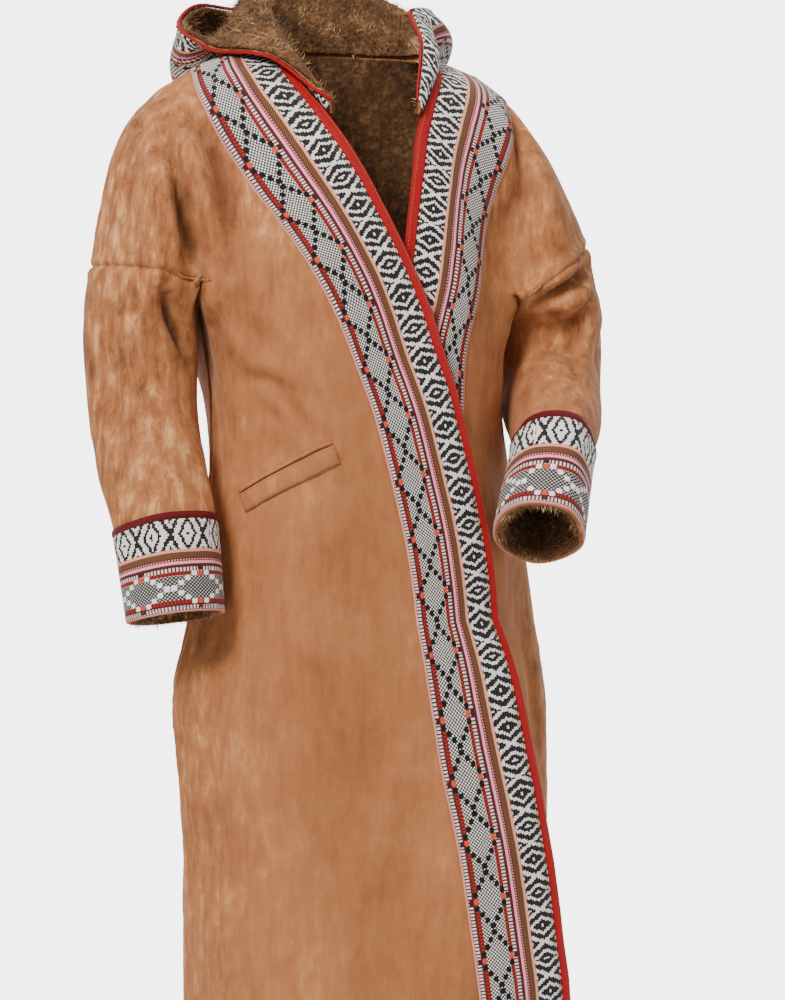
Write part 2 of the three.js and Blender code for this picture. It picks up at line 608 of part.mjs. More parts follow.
// Rows of a front panel run from its edge to the shoulder end, the armhole and the side seam in turn
function frontRows(side) {
  const sign = -side.sign;
  const path = edgePath(side);
  const total = path[path.length - 1].along;
  const armholeAlong = path.find((point) => point.v >= ARMHOLE).along;
  const armRows = between(SHOULDER, FRONT_HALF, ARM_QUARTER).map((w) => ({ w: sign * w, v: ARMHOLE }));
  const flankRows = between(0, FLANK_ARC / 2, FLANK_STEPS).slice(1).map((s) => ({ w: sign * (FRONT_HALF + s), v: ARMHOLE, s }));
  const seamRows = sideRings.slice(1).map((v) => ({ w: sign * SIDE_SEAM, v }));
  const ends = [...armRows, ...flankRows, ...seamRows];
  const lower = ends.length - 1 - ARM_QUARTER;
  const rows = ends.map((end, k) => {
    const distance = k <= ARM_QUARTER
      ? (armholeAlong * k) / ARM_QUARTER
      : armholeAlong + ((total - armholeAlong) * (k - ARM_QUARTER)) / lower;
    const places = walkIn(path, distance, BAND_COLUMNS);
    const last = places[places.length - 1];
    if (k === ends.length - 1) places.forEach((place) => { place.v = HEM; });
    if (k === 0) places.forEach((place) => { place.w = sign * SHOULDER; });
    for (let c = 1; c <= SHOULDER_STEPS; c += 1) {
      const t = c / SHOULDER_STEPS;
      const place = { w: last.w + (end.w - last.w) * t, v: last.v + (end.v - last.v) * t };
      if (end.s !== undefined && c === SHOULDER_STEPS) place.s = end.s;
      places.push(place);
    }
    return places;
  });
  return rows;
}

function placePoint(side, place) {
  if (place.s !== undefined) return flank(side, place.s, ARMHOLE);
  return body(place.w, place.v);
}

const frontPlaces = { right: frontRows(RIGHT), left: frontRows(LEFT) };

function frontNet(side) {
  const net = makeNet();
  const rows = frontPlaces[side.name].map((row) => row.map((place) => placePoint(side, place)));
  addRows(net, rows, side === RIGHT);
  return net;
}

const netRight = frontNet(RIGHT);
const netLeft = frontNet(LEFT);

// The back: yoke rings between the shoulder seams, then body rings between the side seams
function backNet() {
  const net = makeNet();
  const shoulderRight = frontPlaces.right[0].map((place) => place.v);
  const shoulderLeft = frontPlaces.left[0].map((place) => place.v);
  const armBack = between(SHOULDER, YOKE_ARMPIT, ARM_QUARTER);
  const middle = between(YOKE_ARMPIT, YOKE_CENTRE, BACK_STEPS).slice(1);
  const halfYoke = [...armBack, ...middle];
  const yokeStations = [...halfYoke, ...halfYoke.slice(0, -1).reverse().map((w) => -w)];
  const yokeRows = shoulderRight.map((v, k) => yokeStations.map((w, c) => {
    const t = c / (yokeStations.length - 1);
    return body(w, v + (shoulderLeft[k] - v) * t);
  }));
  addRows(net, yokeRows, true);
  const halfBody = [
    ...between(SIDE_SEAM, BODY_ARMPIT, FLANK_STEPS),
    ...between(BODY_ARMPIT, BODY_CENTRE, BACK_STEPS).slice(1),
  ];
  const bodyStations = [...halfBody, ...halfBody.slice(0, -1).reverse().map((w) => -w)];
  const bodyRows = sideRings.map((v, k) => bodyStations.map((w) => {
    const side = w >= 0 ? RIGHT : LEFT;
    if (k === 0) {
      if (Math.abs(w) < BODY_ARMPIT) return flank(side, Math.abs(w) - FRONT_HALF, ARMHOLE);
      return body(w + Math.sign(w) * (YOKE_ARMPIT - BODY_ARMPIT), v);
    }
    return body(w, v);
  }));
  addRows(net, bodyRows, true);
  return net;
}

const netBack = backNet();

const CUFF_TOP = CUFF - 1;
const SLEEVE_LENGTHS = [
  ...between(ARMHOLE, CUFF_TOP, SLEEVE_STEPS * (CUFF_TOP - ARMHOLE)),
  ...CUFF_ROWS.map((share) => CUFF_TOP + share),
];
const sleeveStations = [
  ...between(0, ARM_ARC, 2 * ARM_QUARTER).slice(0, -1),
  ...between(ARM_ARC, ARM_ARC + FLANK_ARC, 2 * FLANK_STEPS).slice(0, -1),
];

function sleeveNet(side) {
  const net = makeNet();
  const rows = SLEEVE_LENGTHS.map((v) => sleeveStations.map((s) => sleeve(side, s, v)));
  addRows(net, rows, side === RIGHT, true);
  return net;
}

const netSleeveRight = sleeveNet(RIGHT);
const netSleeveLeft = sleeveNet(LEFT);

// Folds move the sewn cloth in or out, and the free edge of the right front is lifted
const sewn = [netRight, netLeft, netBack, netSleeveRight, netSleeveLeft];

// Under each arm the body and the sleeve meet in a narrow fold that faces straight down
const underarmArc = (from, to) => new Set([RIGHT, LEFT].flatMap((side) => (
  between(0, FLANK_ARC, 2 * FLANK_STEPS).slice(from, to).map((s) => keyOf(flank(side, s, ARMHOLE))))));
const underarmKeys = underarmArc(0);
const downKeys = underarmArc(1, -1);
const seamKeys = underarmArc(FLANK_STEPS, FLANK_STEPS + 1);
const underarmPoints = sewn.map((net) => (
  net.points.map((p, k) => k).filter((k) => underarmKeys.has(keyOf(net.points[k])))));
const underarmSeams = sewn.map((net, n) => new Map(underarmPoints[n].map((k) => [k, keyOf(net.points[k])])));

function coatNormals() {
  const result = sewnNormals(sewn);
  underarmPoints.forEach((list, n) => list.forEach((k) => {
    if (downKeys.has(underarmSeams[n].get(k))) result[n][k].set(0, 0, -1);
  }));
  return result;
}

const flatNormals = coatNormals();
const lifts = frontPlaces.right.flatMap((row) => row.map((place) => freeEdge(place.w, place.v)));
const underlaps = frontPlaces.left.flatMap((row, rank) => row.map((place, column) => {
  const into = Math.min(Math.max(rank / ARM_QUARTER - UNDERLAP_FROM, 0) / UNDERLAP_OVER, 1);
  const across = 1 - Math.max(column - BAND_COLUMNS.length + 1, 0) / SHOULDER_STEPS;
  return UNDERLAP * into * into * (3 - 2 * into) * Math.min(1, across * UNDERLAP_FADE);
}));
const liftOf = new Map();
netRight.grid.flat().forEach((k, n) => liftOf.set(k, lifts[n]));
const underlapOf = new Map();
netLeft.grid.flat().forEach((k, n) => underlapOf.set(k, underlaps[n]));
sewn.forEach((net, n) => {
  net.points = net.points.map((p, k) => {
    const moved = p.clone().addScaledVector(flatNormals[n][k], -foldDepth(p));
    if (net === netRight) moved.add(liftOf.get(k));
    if (net === netLeft) moved.addScaledVector(flatNormals[n][k], -underlapOf.get(k));
    return moved;
  });
});
const normals = coatNormals();
const normalsOf = new Map(sewn.map((net, k) => [net, normals[k]]));

// Round the underarm the body and the sleeve stand a little further apart, as do front and back at its lowest point
underarmPoints.forEach((list, n) => {
  const isSleeve = sewn[n] === netSleeveRight || sewn[n] === netSleeveLeft;
  const isBack = sewn[n] === netBack;
  list.forEach((k) => {
    const p = sewn[n].points[k];
    const outwards = Math.sign(p.x);
    const atSeam = seamKeys.has(underarmSeams[n].get(k));
    const apart = downKeys.has(underarmSeams[n].get(k)) ? UNDERARM_GAP : ARMPIT_GAP;
    sewn[n].points[k] = p.clone().add(new THREE.Vector3(
      outwards * (isSleeve ? apart : -apart),
      atSeam && !isSleeve ? (isBack ? UNDERARM_GAP : -UNDERARM_GAP) : 0,
      0,
    ));
  });
});

// ---------------------------------------------------------------- trims

// A piece of a net between two columns of its grid, or between two rows
function columnsOf(net, from, to) {
  return net.grid.map((row) => row.slice(from, to + 1));
}

function trim(net, grid, raise, thick, setback, flip, closed = false) {
  const part = makeNet();
  const source = normalsOf.get(net);
  const partNormals = [];
  const rows = grid.map((row) => row.map((k) => {
    const before = part.points.length;
    const id = addPoint(part, net.points[k]);
    if (id === before) partNormals.push(source[k]);
    return id;
  }));
  for (let r = 0; r + 1 < rows.length; r += 1) {
    const columns = rows[r].length;
    for (let c = 0; c < (closed ? columns : columns - 1); c += 1) {
      const d = (c + 1) % columns;
      const quad = [rows[r][c], rows[r + 1][c], rows[r + 1][d], rows[r][d]];
      if (flip) quad.reverse();
      part.facets.push(quad);
    }
  }
  return wall(part, partNormals, raise, thick, setback);
}

const group = new THREE.Group();

function add(name, geometry, look) {
  const mesh = new THREE.Mesh(geometry, new THREE.MeshStandardMaterial(look));
  mesh.name = name;
  group.add(mesh);
}

// Suede panels and sleeves
add('back', wall(netBack, normalsOf.get(netBack), 0, SUEDE_THICK, SEAM_HALF), SUEDE);
add('front_right', wall(netRight, normalsOf.get(netRight), 0, SUEDE_THICK, SEAM_HALF), SUEDE);
add('front_left', wall(netLeft, normalsOf.get(netLeft), 0, SUEDE_THICK, SEAM_HALF), SUEDE);
add('sleeve_right', wall(netSleeveRight, normalsOf.get(netSleeveRight), 0, SUEDE_THICK, SEAM_HALF), SUEDE);
add('sleeve_left', wall(netSleeveLeft, normalsOf.get(netSleeveLeft), 0, SUEDE_THICK, SEAM_HALF), SUEDE);

// Woven bands and braids down the fronts, from the shoulder seams to the hem
[[netRight, RIGHT], [netLeft, LEFT]].forEach(([net, side]) => {
  const lastBand = BAND_COLUMNS.length - 1;
  const flip = side === RIGHT;
  const band = trim(net, columnsOf(net, 1, lastBand), LAID_GAP + BAND_THICK, BAND_THICK, SEAM_HALF, flip);
  add(`front_band_${side.name}`, band, WOVEN);
  const braid = trim(net, columnsOf(net, 0, 1), LAID_GAP + BRAID_THICK, BRAID_THICK, SEAM_HALF, flip);
  add(`front_braid_${side.name}`, braid, RED_BRAID);
});

// Cuffs: braid, woven band, and the pile facing that shows in the mouth of the sleeve
[[netSleeveRight, RIGHT], [netSleeveLeft, LEFT]].forEach(([net, side]) => {
  const top = net.grid.length - 1 - CUFF_ROWS.length;
  const last = net.grid.length;
  const flip = side === RIGHT;
  const braid = trim(net, net.grid.slice(top, top + 2), LAID_GAP + BRAID_THICK, BRAID_THICK, SEAM_HALF, flip, true);
  add(`cuff_braid_${side.name}`, braid, DARK_BRAID);
  const band = trim(net, net.grid.slice(top + 1, last), LAID_GAP + BAND_THICK, BAND_THICK, SEAM_HALF, flip, true);
  add(`cuff_band_${side.name}`, band, WOVEN);
  const inside = -(SUEDE_THICK + LAID_GAP);
  const fur = trim(net, net.grid.slice(last - 3, last), inside, CUFF_FUR_THICK, SEAM_HALF, flip, true);
  add(`cuff_fur_${side.name}`, fur, FUR);
});

// Pocket: a welt and the narrow lip above its slit, laid on the right front
function onNet(net, p) {
  const triangle = new THREE.Triangle();
  const candidate = new THREE.Vector3();
  let best = Infinity;
  const found = { point: new THREE.Vector3(), normal: new THREE.Vector3() };
  net.facets.forEach((facet) => triangles(facet, net.points).forEach((corners) => {
    triangle.set(...corners.map((k) => net.points[k]));
    triangle.closestPointToPoint(p, candidate);
    const distance = candidate.distanceTo(p);
    if (distance < best) {
      best = distance;
      found.point.copy(candidate);
      triangle.getNormal(found.normal);
    }
  }));
  return found;
}

function laidStrip(net, top, offset, height, thick) {
  const part = makeNet();
  const stripNormals = [];
  const down = (c) => {
    const before = top[Math.max(c - 1, 0)];
    const after = top[Math.min(c + 1, top.length - 1)];
    const { normal } = onNet(net, top[c]);
    return normal.clone().cross(after.clone().sub(before)).normalize();
  };
  const rows = [0, 0.5, 1].map((share) => top.map((p, c) => {
    const spot = onNet(net, p.clone().addScaledVector(down(c), offset + share * height));
    return { point: spot.point.clone(), normal: spot.normal.clone() };
  }));
  const smooth = (r, c) => {
    const sum = new THREE.Vector3();
    for (let i = Math.max(c - 1, 0); i <= Math.min(c + 1, top.length - 1); i += 1) sum.add(rows[r][i].normal);
    return sum.normalize();
  };
  addRows(part, rows.map((row) => row.map((spot) => spot.point)), true);
  rows.forEach((row, r) => row.forEach((spot, c) => { stripNormals[part.grid[r][c]] = smooth(r, c); }));
  return wall(part, stripNormals, WELT_STANDS + thick, thick, 0);
}

const weltTop = between(0, 1, WELT_STEPS).map((t) => {
  const w = WELT.inner.w + (WELT.outer.w - WELT.inner.w) * t;
  const v = WELT.inner.v + (WELT.outer.v - WELT.inner.v) * t;
  return onNet(netRight, body(w, v)).point.clone();
});
add('pocket_welt_right', laidStrip(netRight, weltTop, 0, WELT_HEIGHT, WELT_THICK), SUEDE);
add('pocket_lip_right', laidStrip(netRight, weltTop, -(WELT_LIP + WELT_SLIT), WELT_LIP, WELT_THICK / 2), SUEDE);

// Hood: a pouch of suede lying back, with its fur lining, its woven band and its piping
const HOOD_POINTS = ['rise', 'crest', 'pouch', 'outer', 'rim'];
const RIM = HOOD_POINTS.length;

function hoodProfile(station) {
  const w = station.w <= YOKE_CENTRE ? station.w : station.w - 2 * YOKE_CENTRE;
  const edge = body(w, 0);
  const away = edge.clone().sub(body(w, TINY)).normalize();
  const seam = edge.clone().addScaledVector(away, 3 * SEAM_HALF + LAID_GAP);
  const outwards = new THREE.Vector3(edge.x, edge.y, 0).normalize();
  const at = ([out, up]) => seam.clone().addScaledVector(outwards, out).add(new THREE.Vector3(0, 0, up));
  return [seam, ...HOOD_POINTS.map((point) => at(station[point]))];
}

const hoodProfiles = HOOD_STATIONS.map(hoodProfile);

// A point of the hood: s from the right front end round the back to the left, t up from the neckline to the rim
function hood(s, t) {
  const across = hoodProfiles[0].map((_, k) => through(hoodProfiles.map((profile) => profile[k]), s));
  return through(across, t);
}

// Where t must be for each row, so that the band keeps its width below the rim
function hoodRowsAt(s) {
  const samples = between(0, RIM, HOOD_SAMPLES);
  const lengths = [0];
  for (let k = 1; k < samples.length; k += 1) {
    lengths.push(lengths[k - 1] + hood(s, samples[k]).distanceTo(hood(s, samples[k - 1])));
  }
  const total = lengths[lengths.length - 1];
  const at = (length) => {
    let k = 1;
    while (k < samples.length - 1 && lengths[k] < length) k += 1;
    const share = (length - lengths[k - 1]) / (lengths[k] - lengths[k - 1]);
    return samples[k - 1] + (samples[k] - samples[k - 1]) * Math.min(Math.max(share, 0), 1);
  };
  const bandStart = Math.max(total - BAND_WIDTH, total * HOOD_BAND_LOWEST);
  const lower = HOOD_LOWER_SHARES.map((share) => share * at(bandStart));
  const upper = between(bandStart, total, HOOD_BAND_ROWS).slice(1);
  return [...lower, ...upper.map(at)];
}

const netHood = makeNet();
const hoodSpan = HOOD_STATIONS.length - 1;
const hoodColumns = between(0, hoodSpan, HOOD_COLUMNS).map((s) => hoodRowsAt(s).map((t) => hood(s, t)));
const hoodGrid = hoodColumns[0].map((_, r) => hoodColumns.map((column) => column[r]));
addRows(netHood, hoodGrid);

// Where the hood bends sharply its layers are spread along evened-out directions, so that they stay apart
function evened(net, directions) {
  const rows = net.grid.length;
  const columns = net.grid[0].length;
  const at = (r, c) => directions[net.grid[Math.min(Math.max(r, 0), rows - 1)][Math.min(Math.max(c, 0), columns - 1)]];
  const result = [];
  net.grid.forEach((row, r) => row.forEach((k, c) => {
    const sum = at(r, c).clone().multiplyScalar(2);
    [at(r - 1, c), at(r + 1, c), at(r, c - 1), at(r, c + 1)].forEach((direction) => sum.add(direction));
    result[k] = sum.normalize();
  }));
  return result;
}

// The pile's thickness at each point of the hood, less where the hood closes round it
function pileThickness(net, directions, below) {
  const { grid, points } = net;
  const result = [];
  grid.forEach((row, r) => row.forEach((k, c) => {
    let room = Infinity;
    const pairs = [[grid[r - 1]?.[c], grid[r + 1]?.[c]], [row[c - 1], row[c + 1]]];
    pairs.forEach(([a, b]) => {
      const from = a ?? k;
      const to = b ?? k;
      const apart = points[to].clone().sub(points[from]);
      const turn = directions[to].clone().sub(directions[from]).dot(apart) / apart.lengthSq();
      if (turn > 0) room = Math.min(room, PILE_ROOM / turn - below);
    });
    result[k] = Math.min(Math.max(room, PILE_LEAST), HOOD_FUR_THICK);
  }));
  return result;
}

let hoodNormals = sewnNormals([netHood])[0];
for (let pass = 0; pass < EVENING_PASSES; pass += 1) hoodNormals = evened(netHood, hoodNormals);
normalsOf.set(netHood, hoodNormals);

add('hood_shell', wall(netHood, hoodNormals, 0, HOOD_THICK, 0), SUEDE);
const underPile = HOOD_THICK + HOOD_GAP;
add('hood_fur', wall(netHood, hoodNormals, -underPile, pileThickness(netHood, hoodNormals, underPile), 0), FUR);
const hoodBandGrid = netHood.grid.slice(HOOD_LOWER_SHARES.length - 1);
add('hood_band', trim(netHood, hoodBandGrid, HOOD_GAP + BAND_THICK, BAND_THICK, SEAM_HALF, false), WOVEN);

// A cord along a path of points
function cordAlong(path, radius, sides) {
  const rows = path.map((p, k) => {
    const along = path[Math.min(k + 1, path.length - 1)].clone().sub(path[Math.max(k - 1, 0)]).normalize();
    const one = new THREE.Vector3(0, 0, 1).addScaledVector(along, -along.z).normalize();
    const two = along.clone().cross(one);
    return Array.from({ length: sides }, (_, i) => {
      const angle = (2 * Math.PI * i) / sides;
      return p.clone().addScaledVector(one, radius * Math.cos(angle)).addScaledVector(two, radius * Math.sin(angle));
    });
  });
  const position = rows.flat().flatMap((p) => [p.x, p.y, p.z]);
  const index = [];
  for (let r = 0; r + 1 < rows.length; r += 1) {
    for (let c = 0; c < sides; c += 1) {
      const d = (c + 1) % sides;
      const [a, b, e, f] = [r * sides + c, r * sides + d, (r + 1) * sides + d, (r + 1) * sides + c];
      index.push(a, b, e, a, e, f);
    }
  }
  const last = (rows.length - 1) * sides;
  for (let c = 1; c + 1 < sides; c += 1) {
    index.push(0, c + 1, c);
    index.push(last, last + c, last + c + 1);
  }
  const geometry = new THREE.BufferGeometry();
  geometry.setAttribute('position', new THREE.Float32BufferAttribute(position, 3));
  geometry.setIndex(index);
  return geometry;
}

const pipingPath = between(0, hoodSpan, HOOD_COLUMNS).map((s) => {
  const rim = hood(s, RIM);
  const upwards = rim.clone().sub(hood(s, RIM - RIM_REACH.up)).normalize();
  const after = hood(Math.min(s + RIM_REACH.along, hoodSpan), RIM);
  const along = after.sub(hood(Math.max(s - RIM_REACH.along, 0), RIM)).normalize();
  const outwards = upwards.clone().cross(along).normalize();
  return rim.addScaledVector(upwards, PIPING_RADIUS + PIPING_GAP).addScaledVector(outwards, -HOOD_THICK / 2);
});
add('hood_piping', cordAlong(pipingPath, PIPING_RADIUS, PIPING_SIDES), RED_BRAID);

export default group;
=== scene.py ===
"""Farwa: a long hooded winter coat of tan faux suede over a fur pile, as it hangs on its wearer.

Sizes are in millimetres while a piece is shaped and in metres in its mesh. +Z is up, the fronts face -Y and the
wearer's right is -X.
"""
import math

import bpy
import numpy as np
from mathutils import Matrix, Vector, kdtree, noise
from mathutils.bvhtree import BVHTree


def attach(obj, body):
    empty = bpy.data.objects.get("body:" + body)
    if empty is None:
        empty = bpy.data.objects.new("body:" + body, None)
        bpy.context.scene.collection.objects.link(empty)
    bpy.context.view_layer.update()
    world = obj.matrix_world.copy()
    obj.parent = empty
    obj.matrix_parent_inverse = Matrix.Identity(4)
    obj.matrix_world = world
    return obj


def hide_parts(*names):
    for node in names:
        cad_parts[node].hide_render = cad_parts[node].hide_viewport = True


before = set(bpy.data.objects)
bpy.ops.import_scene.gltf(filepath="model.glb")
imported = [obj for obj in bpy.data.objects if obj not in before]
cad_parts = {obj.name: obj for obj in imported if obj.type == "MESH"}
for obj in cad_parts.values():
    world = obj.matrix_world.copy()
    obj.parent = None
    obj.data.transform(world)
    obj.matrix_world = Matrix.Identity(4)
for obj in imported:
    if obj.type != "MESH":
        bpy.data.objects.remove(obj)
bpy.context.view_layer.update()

# ---------------------------------------------------------------------------------------------------------------
# Coat cloth: back, two fronts and two set-in sleeves of faux suede, 4 mm thick with the pile bonded inside it.
# They are cut apart and sewn at the shoulders, armholes and sides, so they are shaped as one net of stations:
# w goes round the body from the centre front, to the wearer's right, and v goes down from the neckline to the hem.
ARMHOLE = 3
FRONT_HALF, ARM_ARC, FLANK_ARC, BACK_HALF = 2, 4, 2, 2
SHOULDER = FRONT_HALF + ARM_ARC / 2
YOKE_ARMPIT = FRONT_HALF + ARM_ARC
YOKE_CENTRE = YOKE_ARMPIT + BACK_HALF
SIDE_SEAM = FRONT_HALF + FLANK_ARC / 2
BODY_ARMPIT = FRONT_HALF + FLANK_ARC

# From the neckline down to the armhole ring: centre front, stations round the right, centre back, then the left
YOKE = {
    "centre front": [(0, -112, -92), (0, -128, -140), (0, -139, -190), (0, -146, -250)],
    "right": [
        [(-52, -99, -76), (-66, -122, -128), (-80, -134, -184), (-92, -139, -250)],
        [(-80, -52, -26), (-122, -82, -84), (-162, -94, -164), (-184, -78, -250)],
        [(-83, -24, -8), (-160, -46, -44), (-224, -78, -130), (-238, -90, -240)],
        [(-83, 4, 0), (-168, 4, -21), (-248, 2, -88), (-284, 0, -232)],
        [(-81, 26, 3), (-162, 50, -38), (-228, 76, -125), (-240, 84, -242)],
        [(-72, 50, 6), (-128, 84, -62), (-165, 92, -155), (-184, 72, -250)],
        [(-42, 76, 9), (-66, 100, -66), (-82, 108, -155), (-95, 108, -250)],
    ],
    "centre back": [(0, 84, 10), (0, 103, -70), (0, 108, -158), (0, 106, -250)],
    "left": [
        [(46, -100, -74), (66, -122, -128), (80, -134, -184), (90, -139, -250)],
        [(76, -54, -26), (116, -86, -88), (146, -100, -172), (162, -88, -262)],
        [(82, -24, -8), (144, -56, -52), (196, -92, -136), (218, -100, -226)],
        [(83, 4, 0), (150, 2, -26), (214, -4, -92), (268, -8, -200)],
        [(81, 26, 3), (146, 48, -40), (206, 66, -126), (240, 74, -226)],
        [(72, 50, 6), (120, 82, -64), (152, 90, -158), (174, 70, -254)],
        [(42, 76, 9), (66, 100, -66), (82, 108, -155), (94, 108, -250)],
    ],
}
UNDERARM = {"right": (-168, 0, -266), "left": (164, -6, -272)}
ARMHOLE_MIDDLE = {"right": (-226, 0, -246), "left": (214, -6, -240)}
# Height, middle, half width, front, back, and how square the corners are
BODY_SECTIONS = [
    (-335, -1, 158, -151, 106, 0.97),
    (-425, 6, 164, -153, 99, 0.85),
    (-520, 14, 177, -151, 98, 0.84),
    (-605, 12, 192, -149, 103, 0.8),
    (-695, 11, 208, -147, 108, 0.82),
    (-860, 18, 203, -143, 110, 0.85),
    (-1060, 17, 199, -138, 111, 0.87),
    (-1355, 18, 203, -134, 113, 0.88),
]
# Between the centres and the corners of a section, and at its corners, as shares of its width and depth
CHEST, BLADE = (0.53, 0.945), (0.52, 0.965)
CORNER_FRONT, CORNER_BACK, SIDE_BACKWARDS = 0.54, 0.64, 12
# Centre of each sleeve section, with its half width and half depth
SLEEVES = {
    "right": [
        (-232, 0, -300, 59, 80), (-231, -8, -380, 58, 70), (-227, -36, -450, 56, 63),
        (-221, -60, -504, 53, 56), (-213, -76, -600, 49, 51),
    ],
    "left": [
        (228, -2, -284, 60, 80), (226, -14, -345, 55, 72), (208, -72, -392, 50, 62),
        (185, -128, -424, 44, 57), (150, -180, -512, 46, 57),
    ],
}
SLEEVE_ANGLES = np.radians([130, 70, 0, -70, -130, 180])
HEM = ARMHOLE + len(BODY_SECTIONS)
CUFF = ARMHOLE + len(SLEEVES["right"])
SIGN = {"right": -1, "left": 1}


def unit(vectors):
    return vectors / np.maximum(np.linalg.norm(vectors, axis=-1, keepdims=True), 1e-9)


def lengths_down(points):
    """Lengths over the cloth from the first row of points to each row."""
    steps = np.linalg.norm(np.diff(points, axis=0), axis=-1)
    return np.concatenate([np.zeros_like(steps[:1]), np.cumsum(steps, axis=0)])


def ring(points):
    """Points round a closed ring, with the slope at each."""
    points = np.array(points, float)
    return np.stack([points, (np.roll(points, -1, 0) - np.roll(points, 1, 0)) / 2])


def pick(source, stations):
    """An arc of stations of a ring, its slopes turned round where the stations run backwards."""
    stations = np.array(stations)
    arc = source[:, stations % source.shape[1]].copy()
    if stations[1] < stations[0]:
        arc[1] *= -1
    return arc


def yoke_ring(level):
    """A ring above the armhole."""
    right = [station[level] for station in YOKE["right"]]
    left = [station[level] for station in YOKE["left"]][::-1]
    return ring([YOKE["centre front"][level], *right, YOKE["centre back"][level], *left])


def body_ring(section):
    """A ring below the armhole, from one row of BODY_SECTIONS."""
    z, middle, side, front, back, corner = section

    def half(sign):
        stations = [
            (CHEST[0], front * CHEST[1]), (corner, front * CORNER_FRONT), (1, (front + back) / 2 + SIDE_BACKWARDS),
            (corner, back * CORNER_BACK), (BLADE[0], back * BLADE[1]),
        ]
        return [(middle + sign * share * side, y, z) for share, y in stations]

    return ring([(middle, front, z), *half(-1), (middle, back, z), *half(1)[::-1]])


def sleeve_ring(name, index):
    """A ring of a sleeve, square to the way the sleeve runs there."""
    sections = np.array(SLEEVES[name], float)
    before = ARMHOLE_MIDDLE[name] if index == 0 else sections[index - 1, :3]
    after = sections[min(index + 1, len(sections) - 1), :3]
    along = unit(np.subtract(after, before))
    outwards = unit(np.array([SIGN[name], 0, 0]) - along * along[0] * SIGN[name])
    forwards = np.array([0, -1, 0]) + along * along[1]
    forwards = unit(forwards - outwards * forwards.dot(outwards))
    wide, deep = sections[index, 3:]
    turn = SLEEVE_ANGLES[:, None]
    return ring(sections[index, :3] + outwards * wide * np.cos(turn) + forwards * deep * np.sin(turn))


def hermite(p0, m0, p1, m1, t):
    """Points on cubic curves from p0 to p1 with slopes m0 and m1."""
    t = t[..., None]
    return (p0 * (2 * t**3 - 3 * t**2 + 1) + m0 * (t**3 - 2 * t**2 + t)
            + p1 * (3 * t**2 - 2 * t**3) + m1 * (t**3 - t**2))


def down(points, t):
    """Smooth curves through points[ring, curve], each read at its own t."""
    slopes = np.empty_like(points)
    slopes[1:-1] = (points[2:] - points[:-2]) / 2
    slopes[0] = points[1] - points[0]
    slopes[-1] = points[-1] - points[-2]
    j = np.clip(np.floor(t).astype(int), 0, len(points) - 2)
    k = np.arange(len(t))
    return hermite(points[j, k], slopes[j, k], points[j + 1, k], slopes[j + 1, k], t - j)


def across(arcs, s, t):
    """Points at station s and ring t of a family of arcs."""
    points, slopes = arcs
    i = np.clip(np.floor(s).astype(int), 0, points.shape[1] - 2)
    rings = hermite(points[:, i], slopes[:, i], points[:, i + 1], slopes[:, i + 1], (s - i)[None])
    return down(rings, t)


yoke_rings = [yoke_ring(level) for level in range(ARMHOLE + 1)]
body_rings = [body_ring(section) for section in BODY_SECTIONS]
armhole_points = yoke_rings[ARMHOLE][0]
armhole_body = ring([
    *armhole_points[:3], UNDERARM["right"], *armhole_points[6:11], UNDERARM["left"], *armhole_points[14:],
])


def family(rings_and_stations):
    """Arcs of several rings, one below another: their points and their slopes."""
    return np.stack([pick(source, stations) for source, stations in rings_and_stations], axis=1)


ARM_FAMILY, FLANK_FAMILY, INSIDE_FAMILY = {}, {}, {}
for name, arm_start, flank_start in (("right", 2, 2), ("left", 14, 10)):
    step = -SIGN[name]
    arm = [arm_start + step * k for k in range(ARM_ARC + 1)]
    under = [flank_start + step * k for k in range(FLANK_ARC + 1)]
    sleeve_rings = [sleeve_ring(name, k) for k in range(len(SLEEVES[name]))]
    ARM_FAMILY[name] = family([(r, arm) for r in yoke_rings] + [(r, [0, 1, 2, 3, 4]) for r in sleeve_rings])
    FLANK_FAMILY[name] = family([(armhole_body, under)] + [(r, under) for r in body_rings])
    INSIDE_FAMILY[name] = family([(armhole_body, under[::-1])] + [(r, [4, 5, 6]) for r in sleeve_rings])
front_stations = list(range(-FRONT_HALF, FRONT_HALF + 1))
FRONT_FAMILY = family([(r, front_stations) for r in yoke_rings + body_rings])
BACK_FAMILY = family([(r, [6, 7, 8, 9, 10]) for r in yoke_rings] + [(r, [4, 5, 6, 7, 8]) for r in body_rings])


def met(points, s, arc, near_gap, far_gap):
    """Brings the first and last station of an arc to its neighbours' edges, and fades that out over one station."""
    for gap, away in ((near_gap, s), (far_gap, arc - s)):
        away = np.clip(away, 0, 1)
        points = points + gap * (1 - away * away * (3 - 2 * away))[:, None]
    return points


